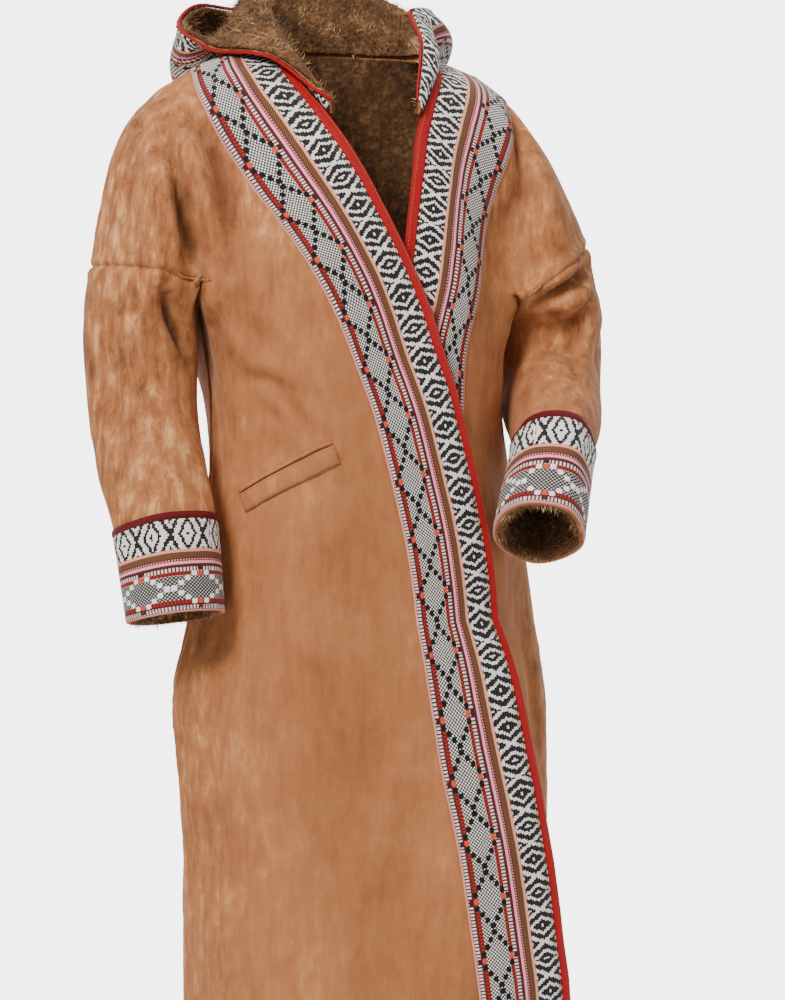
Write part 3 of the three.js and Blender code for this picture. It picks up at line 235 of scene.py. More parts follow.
def body(w, v):
    """The coat's body at stations w and rings v."""
    w, v = np.broadcast_arrays(np.asarray(w, float), np.asarray(v, float))
    shape = w.shape
    w, v = w.ravel(), v.ravel()
    a = np.abs(w)
    under = v > ARMHOLE
    back_from = np.where(under, BODY_ARMPIT, YOKE_ARMPIT)
    front = a <= FRONT_HALF
    middle = ~front & (a < back_from)
    points = np.empty((w.size, 3))
    back = ~front & ~middle
    if front.any():
        points[front] = across(FRONT_FAMILY, FRONT_HALF + w[front], v[front])
    if back.any():
        from_armpit = (a - back_from)[back]
        points[back] = across(BACK_FAMILY, np.where(w[back] >= 0, from_armpit, 2 * BACK_HALF - from_armpit), v[back])
    for name, here in (("right", middle & (w >= 0)), ("left", middle & (w < 0))):
        front_edge, back_edge = (2 * FRONT_HALF, 0) if name == "right" else (0, 2 * BACK_HALF)
        for mask, source, arc, first in (
            (here & ~under, ARM_FAMILY[name], ARM_ARC, 0), (here & under, FLANK_FAMILY[name], FLANK_ARC, ARMHOLE),
        ):
            if mask.any():
                s, t = a[mask] - FRONT_HALF, v[mask]
                same = np.ones(len(t))
                points[mask] = met(
                    across(source, s, t - first), s, arc,
                    across(FRONT_FAMILY, front_edge * same, t) - across(source, 0 * same, t - first),
                    across(BACK_FAMILY, back_edge * same, t) - across(source, arc * same, t - first))
    return points.reshape(*shape, 3)


def flank(name, s):
    """The armhole's foot under the arm, s from the front armpit to the back one."""
    return across(FLANK_FAMILY[name], np.asarray(s, float), np.zeros(len(s)))


def sleeve(name, s, v):
    """A sleeve: s runs over the outside from the front armpit and back along the inside."""
    s, v = np.broadcast_arrays(np.asarray(s, float), np.asarray(v, float))
    shape = s.shape
    s, v = s.ravel(), v.ravel()
    points = np.empty((s.size, 3))
    outside = s <= ARM_ARC
    points[outside] = across(ARM_FAMILY[name], s[outside], v[outside])
    inside, t = s[~outside] - ARM_ARC, v[~outside]
    same = np.ones(len(t))
    points[~outside] = met(
        across(INSIDE_FAMILY[name], inside, t - ARMHOLE), inside, FLANK_ARC,
        across(ARM_FAMILY[name], ARM_ARC * same, t) - across(INSIDE_FAMILY[name], 0 * same, t - ARMHOLE),
        across(ARM_FAMILY[name], 0 * same, t) - across(INSIDE_FAMILY[name], FLANK_ARC * same, t - ARMHOLE))
    return points.reshape(*shape, 3)


# How far each front's edge lies past the centre, towards the wearer's left, at each ring
FRONT_EDGES = {
    "right": [-52, -22, 2, 29, 60, 86, 108, 120, 132, 158, 176, 186],
    "left": [46, 33, 24, 14, 0, -16, -30, -42, -54, -74, -92, -110],
}


NECK_SAMPLES, EDGE_SAMPLES, HALVINGS = 13, 111, 30
EDGE_REACH = 12     # mm to each side of a point, over which the edge's direction is taken
WALK_STEP = 4.0     # mm
TINY = 0.01         # step, in stations, for the slope of the cloth


def edge_station(name, v):
    """The station of a front's edge at each ring v."""
    table = np.array(FRONT_EDGES[name], float)
    x = down(np.repeat(table[:, None, None], len(v), 1), v)[:, 0]
    low, high = np.full(len(v), -FRONT_HALF, float), np.full(len(v), FRONT_HALF, float)
    for _ in range(HALVINGS):
        middle = (low + high) / 2
        beyond = body(middle, v)[:, 0] > x
        low, high = np.where(beyond, middle, low), np.where(beyond, high, middle)
    return (low + high) / 2


def edge_path(name):
    """Stations and lengths along a front's edge, from the shoulder seam round the neckline to the hem."""
    sign = -SIGN[name]
    turn = abs(edge_station(name, np.zeros(1))[0])
    neck = sign * np.linspace(SHOULDER, turn, NECK_SAMPLES)
    v = np.linspace(0, HEM, EDGE_SAMPLES)[1:]
    w = np.concatenate([neck, edge_station(name, v)])
    v = np.concatenate([np.zeros(NECK_SAMPLES), v])
    return w, v, lengths_down(body(w, v))


def walk_in(path, distances, widths):
    """Stations reached by walking over the cloth from the edge, square to it, for each distance along it."""
    path_w, path_v, along = path

    def at(distance):
        distance = np.clip(distance, 0, along[-1])
        return np.interp(distance, along, path_w), np.interp(distance, along, path_v)

    w, v = at(distances)
    edge = unit(body(*at(distances + EDGE_REACH)) - body(*at(distances - EDGE_REACH)))
    turn = 1 if path_w[0] >= 0 else -1
    heading, walked, places = None, 0.0, []
    for width in widths:
        while walked < width - 1e-6:
            stride = min(WALK_STEP, width - walked)
            inside = np.clip(v, TINY, HEM - TINY)
            dw = (body(w + TINY, inside) - body(w - TINY, inside)) / (2 * TINY)
            dv = (body(w, inside + TINY) - body(w, inside - TINY)) / (2 * TINY)
            normal = unit(np.cross(dw, dv))
            if heading is None:
                heading = np.cross(edge, normal) * turn
            heading = unit(heading - normal * (heading * normal).sum(1, keepdims=True))
            aa, ab, bb = (dw * dw).sum(1), (dw * dv).sum(1), (dv * dv).sum(1)
            ha, hb = (heading * dw).sum(1), (heading * dv).sum(1)
            det = aa * bb - ab * ab
            w = w + stride * (ha * bb - hb * ab) / det
            v = v + stride * (hb * aa - ha * ab) / det
            walked += stride
        places.append((w.copy(), np.clip(v, 0, HEM)))
    return np.array([p[0] for p in places]).T, np.array([p[1] for p in places]).T


def from_seam(count):
    """Shares from 0 to 1 that start with two narrow steps beside a seam."""
    even = np.linspace(0, 1, count + 1)
    return np.concatenate([[0, even[1] * 0.14, even[1] * 0.4], even[1:]])


# Fineness of the nets. Rows and stations of sewn pieces meet at the same points.
arm = np.linspace(0, 1, 49)
to_side = 1 - from_seam(9)[::-1]
side_levels = ARMHOLE + (HEM - ARMHOLE) * from_seam(200)
to_armhole = (1 - from_seam(88)[::-1])[1:]
half_back = np.linspace(0, 1, 27)
BAND_PLACES = [0, 2.5, 5, 7.5, 10, 20, 30, 40, 50, 60, 70, 80, 88, 95]
# Ranks number a front's rows: those that end at the armpit, at the underarm and at the hem
AT_ARMPIT, AT_UNDERARM, AT_HEM = 8, 10, 28
RANKS = np.concatenate([
    AT_ARMPIT * arm, AT_ARMPIT + (AT_UNDERARM - AT_ARMPIT) * to_side[1:],
    AT_UNDERARM + (AT_HEM - AT_UNDERARM) * (side_levels[1:] - ARMHOLE) / (HEM - ARMHOLE),
])
NECK_RANKS, NECK_EVENING = 10, 6    # rows from the neckline's tight bend, and passes that even them out
SAG_RANK, SAG = 7.9, 0.18           # the row that comes to the armhole from above, and by how many stations


def front_places(name):
    """Stations of a front: each row runs from the edge over the band to the shoulder, armhole or side seam."""
    sign = -SIGN[name]
    path = edge_path(name)
    total = path[2][-1]
    armhole_along = path[2][np.argmax(path[1] >= ARMHOLE)]

    def distance_at(rank):
        above, below = rank / AT_ARMPIT, (rank - AT_ARMPIT) / (AT_HEM - AT_ARMPIT)
        return np.where(above <= 1, armhole_along * above, armhole_along + (total - armhole_along) * below)

    end_w = sign * np.concatenate([
        SHOULDER + (FRONT_HALF - SHOULDER) * arm, FRONT_HALF + to_side[1:], np.full(len(side_levels) - 1, SIDE_SEAM),
    ])
    end_v = np.concatenate([np.full(len(arm) + len(to_side) - 1, ARMHOLE), side_levels[1:]])
    walked_w, walked_v = walk_in(path, distance_at(np.arange(AT_HEM + 1)), BAND_PLACES)
    walked_w[0] = sign * SHOULDER
    walked_v[-1] = HEM
    walked = np.stack([walked_w, walked_v], axis=-1)
    # The walks from the tight bend of the neckline bunch up, so their far ends are evened out
    reach = (np.array(BAND_PLACES) / BAND_PLACES[-1])[None, :, None]
    for _ in range(NECK_EVENING):
        between = (walked[:-2] + 2 * walked[1:-1] + walked[2:]) / 4
        walked[1:NECK_RANKS] += ((between - walked[1:-1]) * reach)[:NECK_RANKS - 1]
    fine = np.stack([
        down(np.repeat(walked[:, c][:, None], len(RANKS), 1), RANKS) for c in range(len(BAND_PLACES))], axis=1)
    w, v = fine[..., 0], np.clip(fine[..., 1], 0, HEM)
    far_w = w[:, -1:] + (end_w[:, None] - w[:, -1:]) * to_armhole
    # Rows just above the armpit come to the armhole from above
    sag = SAG * np.exp(-((RANKS - SAG_RANK) ** 2))
    far_v = v[:, -1:] + (end_v[:, None] - v[:, -1:]) * to_armhole - sag[:, None] * np.sin(np.pi * to_armhole)
    far_v = np.round(far_v, 9)
    return np.hstack([w, far_w]), np.hstack([v, far_v]), distance_at(RANKS)


places = {name: front_places(name) for name in ("right", "left")}
flat = {}
for name in ("right", "left"):
    w, v, _ = places[name]
    grid = body(w, v)
    grid[len(arm):len(arm) + len(to_side) - 1, -1] = flank(name, to_side[1:])
    flat[f"front_{name}"] = grid

half_yoke = np.concatenate([SHOULDER + (YOKE_ARMPIT - SHOULDER) * arm, YOKE_ARMPIT + BACK_HALF * half_back[1:]])
yoke_w = np.concatenate([half_yoke, -half_yoke[-2::-1]])
share = np.linspace(0, 1, len(yoke_w))
right_v, left_v = places["right"][1][0][:, None], places["left"][1][0][:, None]
flat["back_yoke"] = body(np.broadcast_to(yoke_w, (len(right_v), len(yoke_w))), right_v + (left_v - right_v) * share)
from_side = 1 - to_side[::-1]
half_body = np.concatenate([SIDE_SEAM + from_side, BODY_ARMPIT + BACK_HALF * half_back[1:]])
body_w = np.concatenate([half_body, -half_body[-2::-1]])
grid = body(np.broadcast_to(body_w, (len(side_levels), len(body_w))), side_levels[:, None])
grid[0] = body(body_w + np.sign(body_w) * (YOKE_ARMPIT - BODY_ARMPIT), np.full(len(body_w), ARMHOLE))
grid[0, :len(from_side)] = flank("right", 1 + from_side)
grid[0, -len(from_side):] = flank("left", 1 + from_side[::-1])
flat["back_body"] = grid

# Sleeve rows: the arm, then the cuff's braid and its woven band
BRAID_SHARE = 0.09
cuff_rows = np.concatenate([[BRAID_SHARE / 2], np.linspace(BRAID_SHARE, 1, 19)])
sleeve_v = np.concatenate([
    ARMHOLE + (CUFF - 1 - ARMHOLE) * from_seam(104), CUFF - 1 + cuff_rows,
])
sleeve_s = np.concatenate([2 - 2 * arm[::-1], 2 + 2 * arm[1:], 4 + to_side[1:], 6 - to_side[-2::-1]])
for name in ("right", "left"):
    grid = sleeve(name, sleeve_s[None, :-1], sleeve_v[:, None])
    flat[f"sleeve_{name}"] = np.concatenate([grid, grid[:, :1]], axis=1)

FACES_TURNED = {
    "front_right": True, "front_left": False, "back_yoke": True, "back_body": True,
    "sleeve_right": True, "sleeve_left": False,
}


def quads_of(rows, columns, turned, first=0):
    """Faces between the points of a grid, the first of which has this number."""
    k = np.arange(rows * columns).reshape(rows, columns) + first
    quads = np.stack([k[:-1, :-1], k[1:, :-1], k[1:, 1:], k[:-1, 1:]], axis=-1).reshape(-1, 4)
    return quads[:, ::-1] if turned else quads


def sewn_normals(grids):
    """Outward directions at the points of all the grids, shared where grids are sewn together."""
    names = list(grids)
    points = np.concatenate([grids[n].reshape(-1, 3) for n in names])
    firsts = np.cumsum([0] + [grids[n].size // 3 for n in names])
    _, shared = np.unique(np.round(points * 100).astype(np.int64), axis=0, return_inverse=True)
    shared = shared.ravel()
    sums = np.zeros((shared.max() + 1, 3))
    for n, first in zip(names, firsts):
        quads = quads_of(*grids[n].shape[:2], FACES_TURNED[n], first)
        a, b, c, d = (points[quads[:, k]] for k in range(4))
        face = np.cross(c - a, d - b)
        for k in range(4):
            np.add.at(sums, shared[quads[:, k]], face)
    sums /= np.maximum(np.linalg.norm(sums, axis=1, keepdims=True), 1e-9)
    every = sums[shared]
    return {n: every[f:f + grids[n].size // 3].reshape(grids[n].shape) for n, f in zip(names, firsts)}


# Folds: soft troughs between two points, with their width and depth in mm. A negative depth is a ridge.
FOLDS = [
    ((-212, -78, -100), (-158, -104, -292), 20, 4),
    ((-190, -72, -80), (-132, -118, -240), 20, 3),
    ((-232, -90, -262), (-200, -78, -345), 18, 8),
    ((-176, -70, -300), (-120, -128, -430), 18, 7),
    ((-150, -96, -360), (-60, -150, -385), 16, 4),
    ((-128, -118, -400), (-52, -152, -446), 18, -4),
    ((-285, -20, -330), (-180, -60, -400), 20, 6),
    ((-60, -146, -700), (-84, -138, -1000), 34, 7),
    ((30, -148, -760), (-10, -144, -1040), 38, 6),
    ((-150, -80, -700), (-170, -72, -1200), 36, -6),
    ((176, -72, -66), (142, -118, -235), 20, 9),
    ((278, -30, -236), (176, -80, -330), 18, 13),
    ((286, 0, -262), (240, -66, -352), 18, 8),
    ((262, 30, -320), (208, -100, -372), 18, 8),
    ((185, 66, -120), (150, 96, -300), 22, 8),
    ((-190, 74, -110), (-148, 96, -300), 22, 9),
    ((-110, 108, -330), (90, 104, -360), 26, 5),
    ((-70, 106, -560), (-100, 112, -1200), 40, 9),
    ((80, 108, -600), (96, 112, -1240), 38, 8),
    ((206, 20, -640), (216, 30, -1180), 34, 7),
]
# The lapped edge of the right front hangs free below the waist, and the left front runs inside the right one
FREE_EDGE = {"starts_at": 7, "reach": 190, "sideways": 34, "forward": 60, "growth": 0.8}
UNDERLAP, UNDERLAP_FROM, UNDERLAP_OVER, UNDERLAP_FADE = 12, 0.2, 0.5, 1.6
FOLD_END, FOLD_TAPER = 0.35, 0.08


def fold_depth(points):
    """Depths of the broad folds."""
    depth = np.zeros(points.shape[:-1])
    for start, end, width, deep in FOLDS:
        start = np.array(start, float)
        line = np.array(end) - start
        t = np.clip((points - start) @ line / line.dot(line), 0, 1)
        away = np.linalg.norm(points - start - t[..., None] * line, axis=-1)
        fade = FOLD_END + (1 - FOLD_END) * np.sin(np.pi * np.clip(t, FOLD_TAPER, 1 - FOLD_TAPER))
        depth += deep * fade * np.exp(-((away / width) ** 2))
    return depth


def free_edge(w, v):
    """How far the right front stands off the body below the waist."""
    below = np.clip((v - FREE_EDGE["starts_at"]) / (HEM - FREE_EDGE["starts_at"]), 0, 1)
    edge = body(edge_station("right", v.ravel()), v.ravel()).reshape(*v.shape, 3)
    away = np.clip(np.linalg.norm(body(w, v) - edge, axis=-1) / FREE_EDGE["reach"], 0, 1)
    lift = below ** FREE_EDGE["growth"] * (1 - away) ** 2
    return lift[..., None] * np.array([FREE_EDGE["sideways"], -FREE_EDGE["forward"], 0])


def underlap():
    """How far each point of the left front lies inside its own place, under the right front."""
    over = np.concatenate([np.ones(len(BAND_PLACES)), 1 - to_armhole])
    into = np.clip(RANKS / AT_ARMPIT - UNDERLAP_FROM, 0, UNDERLAP_OVER) / UNDERLAP_OVER
    return UNDERLAP * (into**2 * (3 - 2 * into))[:, None] * np.minimum(1, over * UNDERLAP_FADE)


def ripple(points, size, seed=0.0):
    """Soft chance heights, from about -1 to 1, with bumps of this size in mm."""
    places = (points.reshape(-1, 3) / size + seed).tolist()
    return np.array([noise.noise(place) for place in places]).reshape(points.shape[:-1])


# Narrower creases in the suede: three points on each, its width and its depth
CREASES = [
    ((-219, -60, -96), (-204, -78, -180), (-184, -76, -246), 11, 22),
    ((-191, -64, -87), (-165, -83, -142), (-157, -86, -240), 11, 13),
    ((-158, -86, -272), (-164, -76, -288), (-168, -60, -312), 9, 5),
    ((-230, -84, -258), (-212, -69, -294), (-192, -56, -335), 9, 14),
    ((-251, -78, -264), (-240, -75, -323), (-241, -89, -416), 14, 5),
    ((-269, -56, -271), (-273, -48, -354), (-264, -79, -447), 14, 5),
    ((-152, -85, -352), (-128, -106, -354), (-75, -143, -377), 8, 4),
    ((-150, -85, -398), (-120, -107, -389), (-73, -148, -414), 8, 3.5),
    ((-124, -112, -352), (-98, -131, -385), (-80, -147, -423), 8, 6),
    ((-8, -148, -674), (-21, -144, -767), (-43, -138, -860), 22, 7),
    ((41, -147, -758), (29, -144, -810), (9, -137, -872), 18, 5),
    ((-158, -68, -634), (-171, -65, -770), (-172, -54, -896), 16, 5),
    ((-126, -98, -540), (-137, -93, -623), (-143, -104, -747), 16, 4),
    ((-239, -31, -92), (-256, -48, -156), (-264, -52, -219), 12, 5),
    ((-140, -63, -60), (-124, -91, -104), (-110, -118, -168), 14, 3),
    ((-68, -151, -432), (-45, -153, -447), (-9, -152, -478), 9, 3),
    ((-155, -87, -271), (-140, -103, -302), (-110, -128, -326), 12, 5),
    ((167, -38, -55), (167, -81, -123), (159, -81, -190), 10, 11),
    ((262, -70, -222), (215, -92, -250), (172, -90, -285), 10, 16),
    ((268, -40, -232), (240, -82, -274), (219, -77, -317), 9, 8),
    ((142, -81, -320), (158, -90, -350), (148, -128, -399), 9, 6),
    ((191, -88, -264), (226, -70, -306), (199, -155, -373), 12, 6),
    ((170, -68, -607), (188, -62, -690), (197, -57, -769), 14, 5),
    ((-184, 72, -150), (-176, 86, -215), (-160, 88, -300), 11, 12),
    ((176, 66, -150), (168, 84, -215), (152, 88, -300), 11, 11),
    ((-262, 50, -255), (-235, 66, -330), (-205, 50, -400), 10, 8),
    ((256, 45, -225), (232, 40, -300), (210, 0, -370), 10, 8),
    ((-278, -10, -430), (-262, 20, -470), (-230, 22, -490), 12, 6),
    ((-120, 100, -420), (-30, 108, -450), (70, 104, -430), 12, 4),
    ((-90, 104, -500), (0, 102, -520), (100, 100, -495), 12, 3.5),
    ((-40, 108, -700), (-60, 112, -900), (-50, 114, -1150), 20, 8),
    ((60, 108, -760), (40, 112, -950), (66, 114, -1200), 20, 7),
    ((140, 90, -680), (150, 98, -880), (146, 100, -1120), 16, 6),
    ((-150, 88, -720), (-158, 96, -900), (-150, 100, -1180), 16, 6),
    ((-196, 10, -640), (-204, 16, -820), (-200, 20, -1050), 14, 6),
    ((222, 16, -640), (226, 18, -820), (222, 20, -1060), 14, 6),
]
CREASE_TAPER = 0.06
CREASE_LIP = {"height": 0.22, "away": 1.9}      # a low lip beside each crease, in shares of its depth and width
every_place = np.concatenate([grid.reshape(-1, 3) for grid in flat.values()])
cloth_places = kdtree.KDTree(len(every_place))
for k, place in enumerate(every_place.tolist()):
    cloth_places.insert(place, k)
cloth_places.balance()


def crease_depth(points):
    """Depths of the creases, and how much the nap in them is shut away from the light, from 0 to 1."""
    depth, shade = np.zeros(points.shape[:-1]), np.zeros(points.shape[:-1])
    t = np.linspace(0, 1, 25)[:, None]
    for first, middle, last, width, deep in CREASES:
        first, middle, last = (np.array(p, float) for p in (first, middle, last))
        bow = 2 * middle - (first + last) / 2
        line = first * (1 - t) ** 2 + bow * 2 * t * (1 - t) + last * t**2
        line = np.array([tuple(cloth_places.find(p)[0]) for p in line.tolist()])
        for _ in range(3):
            line[1:-1] = (line[:-2] + 2 * line[1:-1] + line[2:]) / 4
        near = np.linalg.norm(points - middle, axis=-1) < np.linalg.norm(last - first) / 2 + 5 * width
        away = np.linalg.norm(points[near][:, None] - line, axis=-1)
        nearest = away.argmin(1)
        away = away.min(1) / width
        fade = np.sin(np.pi * np.clip(t[nearest, 0], CREASE_TAPER, 1 - CREASE_TAPER)) ** 0.7
        lip = CREASE_LIP["height"] * np.exp(-((away - CREASE_LIP["away"]) ** 2))
        depth[near] += deep * fade * (np.exp(-(away**2)) - lip)
        steep = np.clip((deep / width - 0.3) / 1.2, 0, 1)
        shade[near] = np.maximum(shade[near], steep * fade * np.exp(-((away * 1.5) ** 2)))
    return depth, shade


def sewn_places(grids):
    """Points where two different pieces meet."""
    owners = {}
    for n, grid in grids.items():
        for key in set(map(tuple, np.round(grid.reshape(-1, 3) * 100).astype(int).tolist())):
            owners.setdefault(key, set()).add("back" if n.startswith("back") else n)
    return [key for key, names in owners.items() if len(names) > 1]


flat_normals = sewn_normals(flat)
meeting = sewn_places(flat)
seams = kdtree.KDTree(len(meeting))
for k, key in enumerate(meeting):
    seams.insert(np.array(key) / 100, k)
seams.balance()


# Beside a seam, in mm: height, how far off and how wide. The puckers have a size and reach of their own.
SEAM_SWELL, SEAM_DIP = (1.3, 8, 5), (2.6, 0, 2.4)
PUCKER = {"height": 1.1, "size": 13, "reach": 18}


def seam_relief(points):
    """The cloth dips into a seam and swells a little beside it, with small puckers."""
    away = np.array([seams.find(p)[2] for p in points.reshape(-1, 3).tolist()]).reshape(points.shape[:-1])
    swell, dip = (high * np.exp(-(((away - off) / wide) ** 2)) for high, off, wide in (SEAM_SWELL, SEAM_DIP))
    return swell - dip + ripple(points, PUCKER["size"], 7.0) * PUCKER["height"] * np.exp(-away / PUCKER["reach"])


# Folds ease out at the corners of the armholes, where four pieces meet
ARMHOLE_CORNERS = [armhole_points[k] for k in (2, 6, 10, 14)]
CORNER_REACH, CORNER_EASE = 26, 0.8
# Unevenness of the whole cloth: height and size of its bumps in mm, and a seed
UNEVEN = [(2.4, 120, 3.0), (1.1, 48, 5.0), (0.35, 19, 9.0)]
coat, coat_shade = {}, {}
for name, grid in flat.items():
    crease, coat_shade[name] = crease_depth(grid)
    corner = np.min([np.linalg.norm(grid - point, axis=-1) for point in ARMHOLE_CORNERS], axis=0)
    eased = 1 - CORNER_EASE * np.exp(-((corner / CORNER_REACH) ** 2))
    relief = -(fold_depth(grid) + crease) * eased + seam_relief(grid)
    relief += sum(high * ripple(grid, size, seed) for high, size, seed in UNEVEN)
    coat[name] = grid + flat_normals[name] * relief[..., None]
coat["front_right"] += free_edge(*places["right"][:2])
coat["front_left"] -= flat_normals["front_left"] * underlap()[..., None]
coat_normals = sewn_normals(coat)


def rgb(red, green, blue):
    """A colour given as seen on a screen, 0 to 255, as the shaders take it."""
    shares = (c / 255 for c in (red, green, blue))
    return tuple(c / 12.92 if c <= 0.0404 else ((c + 0.055) / 1.055) ** 2.4 for c in shares) + (1,)


class Reading:
    """A value read in a finish or a node tree. Sums on readings add the Math nodes that work them out."""

    def __init__(self, tree, socket):
        self.tree, self.socket = tree, socket

    def maths(self, operation, *values):
        return self.tree.node("ShaderNodeMath", {"operation": operation}, dict(enumerate(values)))

    def output(self, key):
        """Another output of the node that this was read from."""
        return Reading(self.tree, self.socket.node.outputs[key])

    def __add__(self, other): return self.maths("ADD", self, other)
    def __radd__(self, other): return self.maths("ADD", other, self)
    def __sub__(self, other): return self.maths("SUBTRACT", self, other)
    def __rsub__(self, other): return self.maths("SUBTRACT", other, self)
    def __mul__(self, other): return self.maths("MULTIPLY", self, other)
    def __rmul__(self, other): return self.maths("MULTIPLY", other, self)
    def __truediv__(self, other): return self.maths("DIVIDE", self, other)
    def __rtruediv__(self, other): return self.maths("DIVIDE", other, self)
    def __mod__(self, other): return self.maths("FLOORED_MODULO", self, other)
    def __pow__(self, other): return self.maths("POWER", self, other)
    def __lt__(self, other): return self.maths("LESS_THAN", self, other)
    def __gt__(self, other): return self.maths("GREATER_THAN", self, other)
    def __abs__(self): return self.maths("ABSOLUTE", self)
    def bounce(self, scale): return self.maths("PINGPONG", self, scale)
    def rounded(self): return self.maths("ROUND", self)
    def cosine(self): return self.maths("COSINE", self)
    def least(self, other): return self.maths("MINIMUM", self, other)
    def most(self, other): return self.maths("MAXIMUM", self, other)

    def ramp(self, low, high):
        """0 below low, 1 above high, and smooth between."""
        sockets = {"Value": self, "From Min": low, "From Max": high}
        return self.tree.node("ShaderNodeMapRange", {"interpolation_type": "SMOOTHSTEP"}, sockets)


class Tree:
    """A node tree that is filled one node at a time."""

    def __init__(self, tree):
        self.tree = tree
        tree.nodes.clear()

    def node(self, kind, settings, sockets, output=0):
        made = self.tree.nodes.new(kind)
        for key, value in settings.items():
            if key == "stops":
                while len(made.color_ramp.elements) < len(value):
                    made.color_ramp.elements.new(1)
                for element, (position, colour) in zip(made.color_ramp.elements, value):
                    element.position, element.color = position, colour
            elif key == "interpolation":
                made.color_ramp.interpolation = value
            else:
                setattr(made, key, value)
        for key, value in sockets.items():
            if isinstance(value, Reading):
                self.tree.links.new(value.socket, made.inputs[key])
            else:
                made.inputs[key].default_value = value
        return Reading(self, made.outputs[output]) if made.outputs else None


class Finish(Tree):
    """A material, with the few readings and mixes that all its cloths use."""

    def __init__(self, name):
        self.material = bpy.data.materials.new(name)
        self.material.use_nodes = True
        super().__init__(self.material.node_tree)

    def place(self):
        """Places on the piece, in metres."""
        return self.node("ShaderNodeTexCoord", {}, {}, "Object")

    def chance(self, where, scale, detail=2.0, rough=0.5, warp=0.0):
        """Noise from 0 to 1, with about this many bumps to the metre."""
        sockets = {"Vector": where, "Scale": scale, "Detail": detail, "Roughness": rough, "Distortion": warp}
        return self.node("ShaderNodeTexNoise", {}, sockets)

    def blend(self, amount, one, two, way="MIX"):
        settings = {"data_type": "RGBA", "blend_type": way}
        return self.node("ShaderNodeMix", settings, {0: amount, 6: one, 7: two}, 2)

    def shades(self, value, stops, interpolation="LINEAR"):
        settings = {"stops": stops, "interpolation": interpolation}
        return self.node("ShaderNodeValToRGB", settings, {"Fac": value})

    def done(self, colour, rough, height, distance, sheen=0.0, sheen_tint=(1, 1, 1, 1)):
        """The material, with relief of this height, which is a share of a distance in metres."""
        bump = self.node("ShaderNodeBump", {}, {"Height": height, "Strength": 1.0, "Distance": distance}, "Normal")
        sockets = {
            "Base Color": colour, "Roughness": rough, "Normal": bump, "Specular IOR Level": 0.25,
            "Sheen Weight": sheen, "Sheen Roughness": 0.45, "Sheen Tint": sheen_tint,
        }
        shader = self.node("ShaderNodeBsdfPrincipled", {}, sockets)
        self.node("ShaderNodeOutputMaterial", {}, {"Surface": shader})
        return self.material


def suede_finish(name):
    """Faux suede: a soft tan nap, brushed and crushed into lighter and darker patches, with painted sheen along the
    sides and painted shade in the deep creases.
    """
    look = Finish(name)
    place = look.place()
    sides = look.node("ShaderNodeSeparateXYZ", {}, {"Vector": place})
    height = sides.output(2)
    # The nap's patches and streaks are stronger over the shoulders, down the sleeves and along the sides of the skirt:
    # partly the nap crushed there, and partly painted sheen, the light that catches the nap where the coat turns away
    # at its sides
    crush_and_sheen = 0.28 + 0.72 * abs(sides).ramp(0.11, 0.25).most(height.ramp(-0.4, -0.05) * 0.8)
    broad = look.chance(place, 7, 3, 0.55)
    crushed = look.chance(place, 40, 6, 0.62, 0.5)
    streaks = look.chance(look.node("ShaderNodeMapping", {}, {"Vector": place, "Scale": (1, 1, 0.3)}), 85, 5, 0.68, 0.3)
    grain = look.chance(place, 900, 3, 0.7)
    nap = (broad - 0.5) * 0.5 + (streaks - 0.5) * crush_and_sheen * 1.4 + (crushed - 0.5) * crush_and_sheen * 0.7 + (grain - 0.5) * 0.12
    colour = look.shades(nap + 0.5, [
        (0.2, rgb(112, 66, 36)), (0.42, rgb(152, 94, 55)), (0.58, rgb(172, 110, 66)), (0.84, rgb(218, 158, 104)),
    ])
    # Painted shade: the colour is darkened towards dark brown in the deep creases, by the 'fold' attribute that
    # crease_depth works out
    fold = look.node("ShaderNodeAttribute", {"attribute_name": "fold"}, {}, "Fac")
    colour = look.blend(fold * 0.8, colour, rgb(52, 28, 14))
    relief = streaks * 0.5 * crush_and_sheen + crushed * 0.6 + grain * 0.35
    return look.done(colour, 0.86 + 0.1 * grain, relief, 0.0012, 0.16, rgb(236, 192, 150))


def lining_finish(name):
    """The pile bonded inside the suede, seen only at openings."""
    look = Finish(name)
    place = look.place()
    tufts = look.chance(place, 160, 5, 0.7, 0.6)
    clumps = look.chance(place, 40, 3)
    colour = look.shades(tufts * 0.7 + clumps * 0.3, [
        (0.3, rgb(48, 30, 18)), (0.5, rgb(96, 64, 38)), (0.7, rgb(150, 110, 70)),
    ])
    return look.done(colour, 0.95, tufts, 0.004, 0.2, rgb(200, 160, 120))


suede = suede_finish("suede")
lining = lining_finish("pile_lining")


def stood(name, data):
    """A new object in the scene."""
    made = bpy.data.objects.new(name, data)
    bpy.context.scene.collection.objects.link(made)
    return made


def fitted(piece, node_name):
    """The piece takes a solid's place, which is hidden, and moves with the coat."""
    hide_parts(node_name)
    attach(piece, "root")


def charted_by(across, along):
    """Places on the weave, in mm, from its two coordinates at each point of a grid."""
    return np.stack(np.broadcast_arrays(across, along), axis=-1)


def sewn_mesh(name, points, faces, looks, look_numbers, charted=None):
    """An object from points in mm. charted is a place on the weave, in mm, for each corner of each face."""
    mesh = bpy.data.meshes.new(name)
    mesh.from_pydata((np.asarray(points) / 1000).tolist(), [], [list(map(int, face)) for face in faces])
    for look in looks:
        mesh.materials.append(look)
    mesh.polygons.foreach_set("material_index", np.asarray(look_numbers, dtype=np.int32))
    mesh.polygons.foreach_set("use_smooth", np.ones(len(mesh.polygons), dtype=bool))
    if charted is not None:
        layer = mesh.uv_layers.new(name="weave")
        layer.data.foreach_set("uv", np.asarray(charted, dtype=np.float32).ravel())
    mesh.update()
    return stood(name, mesh)


ARMPIT_REACH = 110


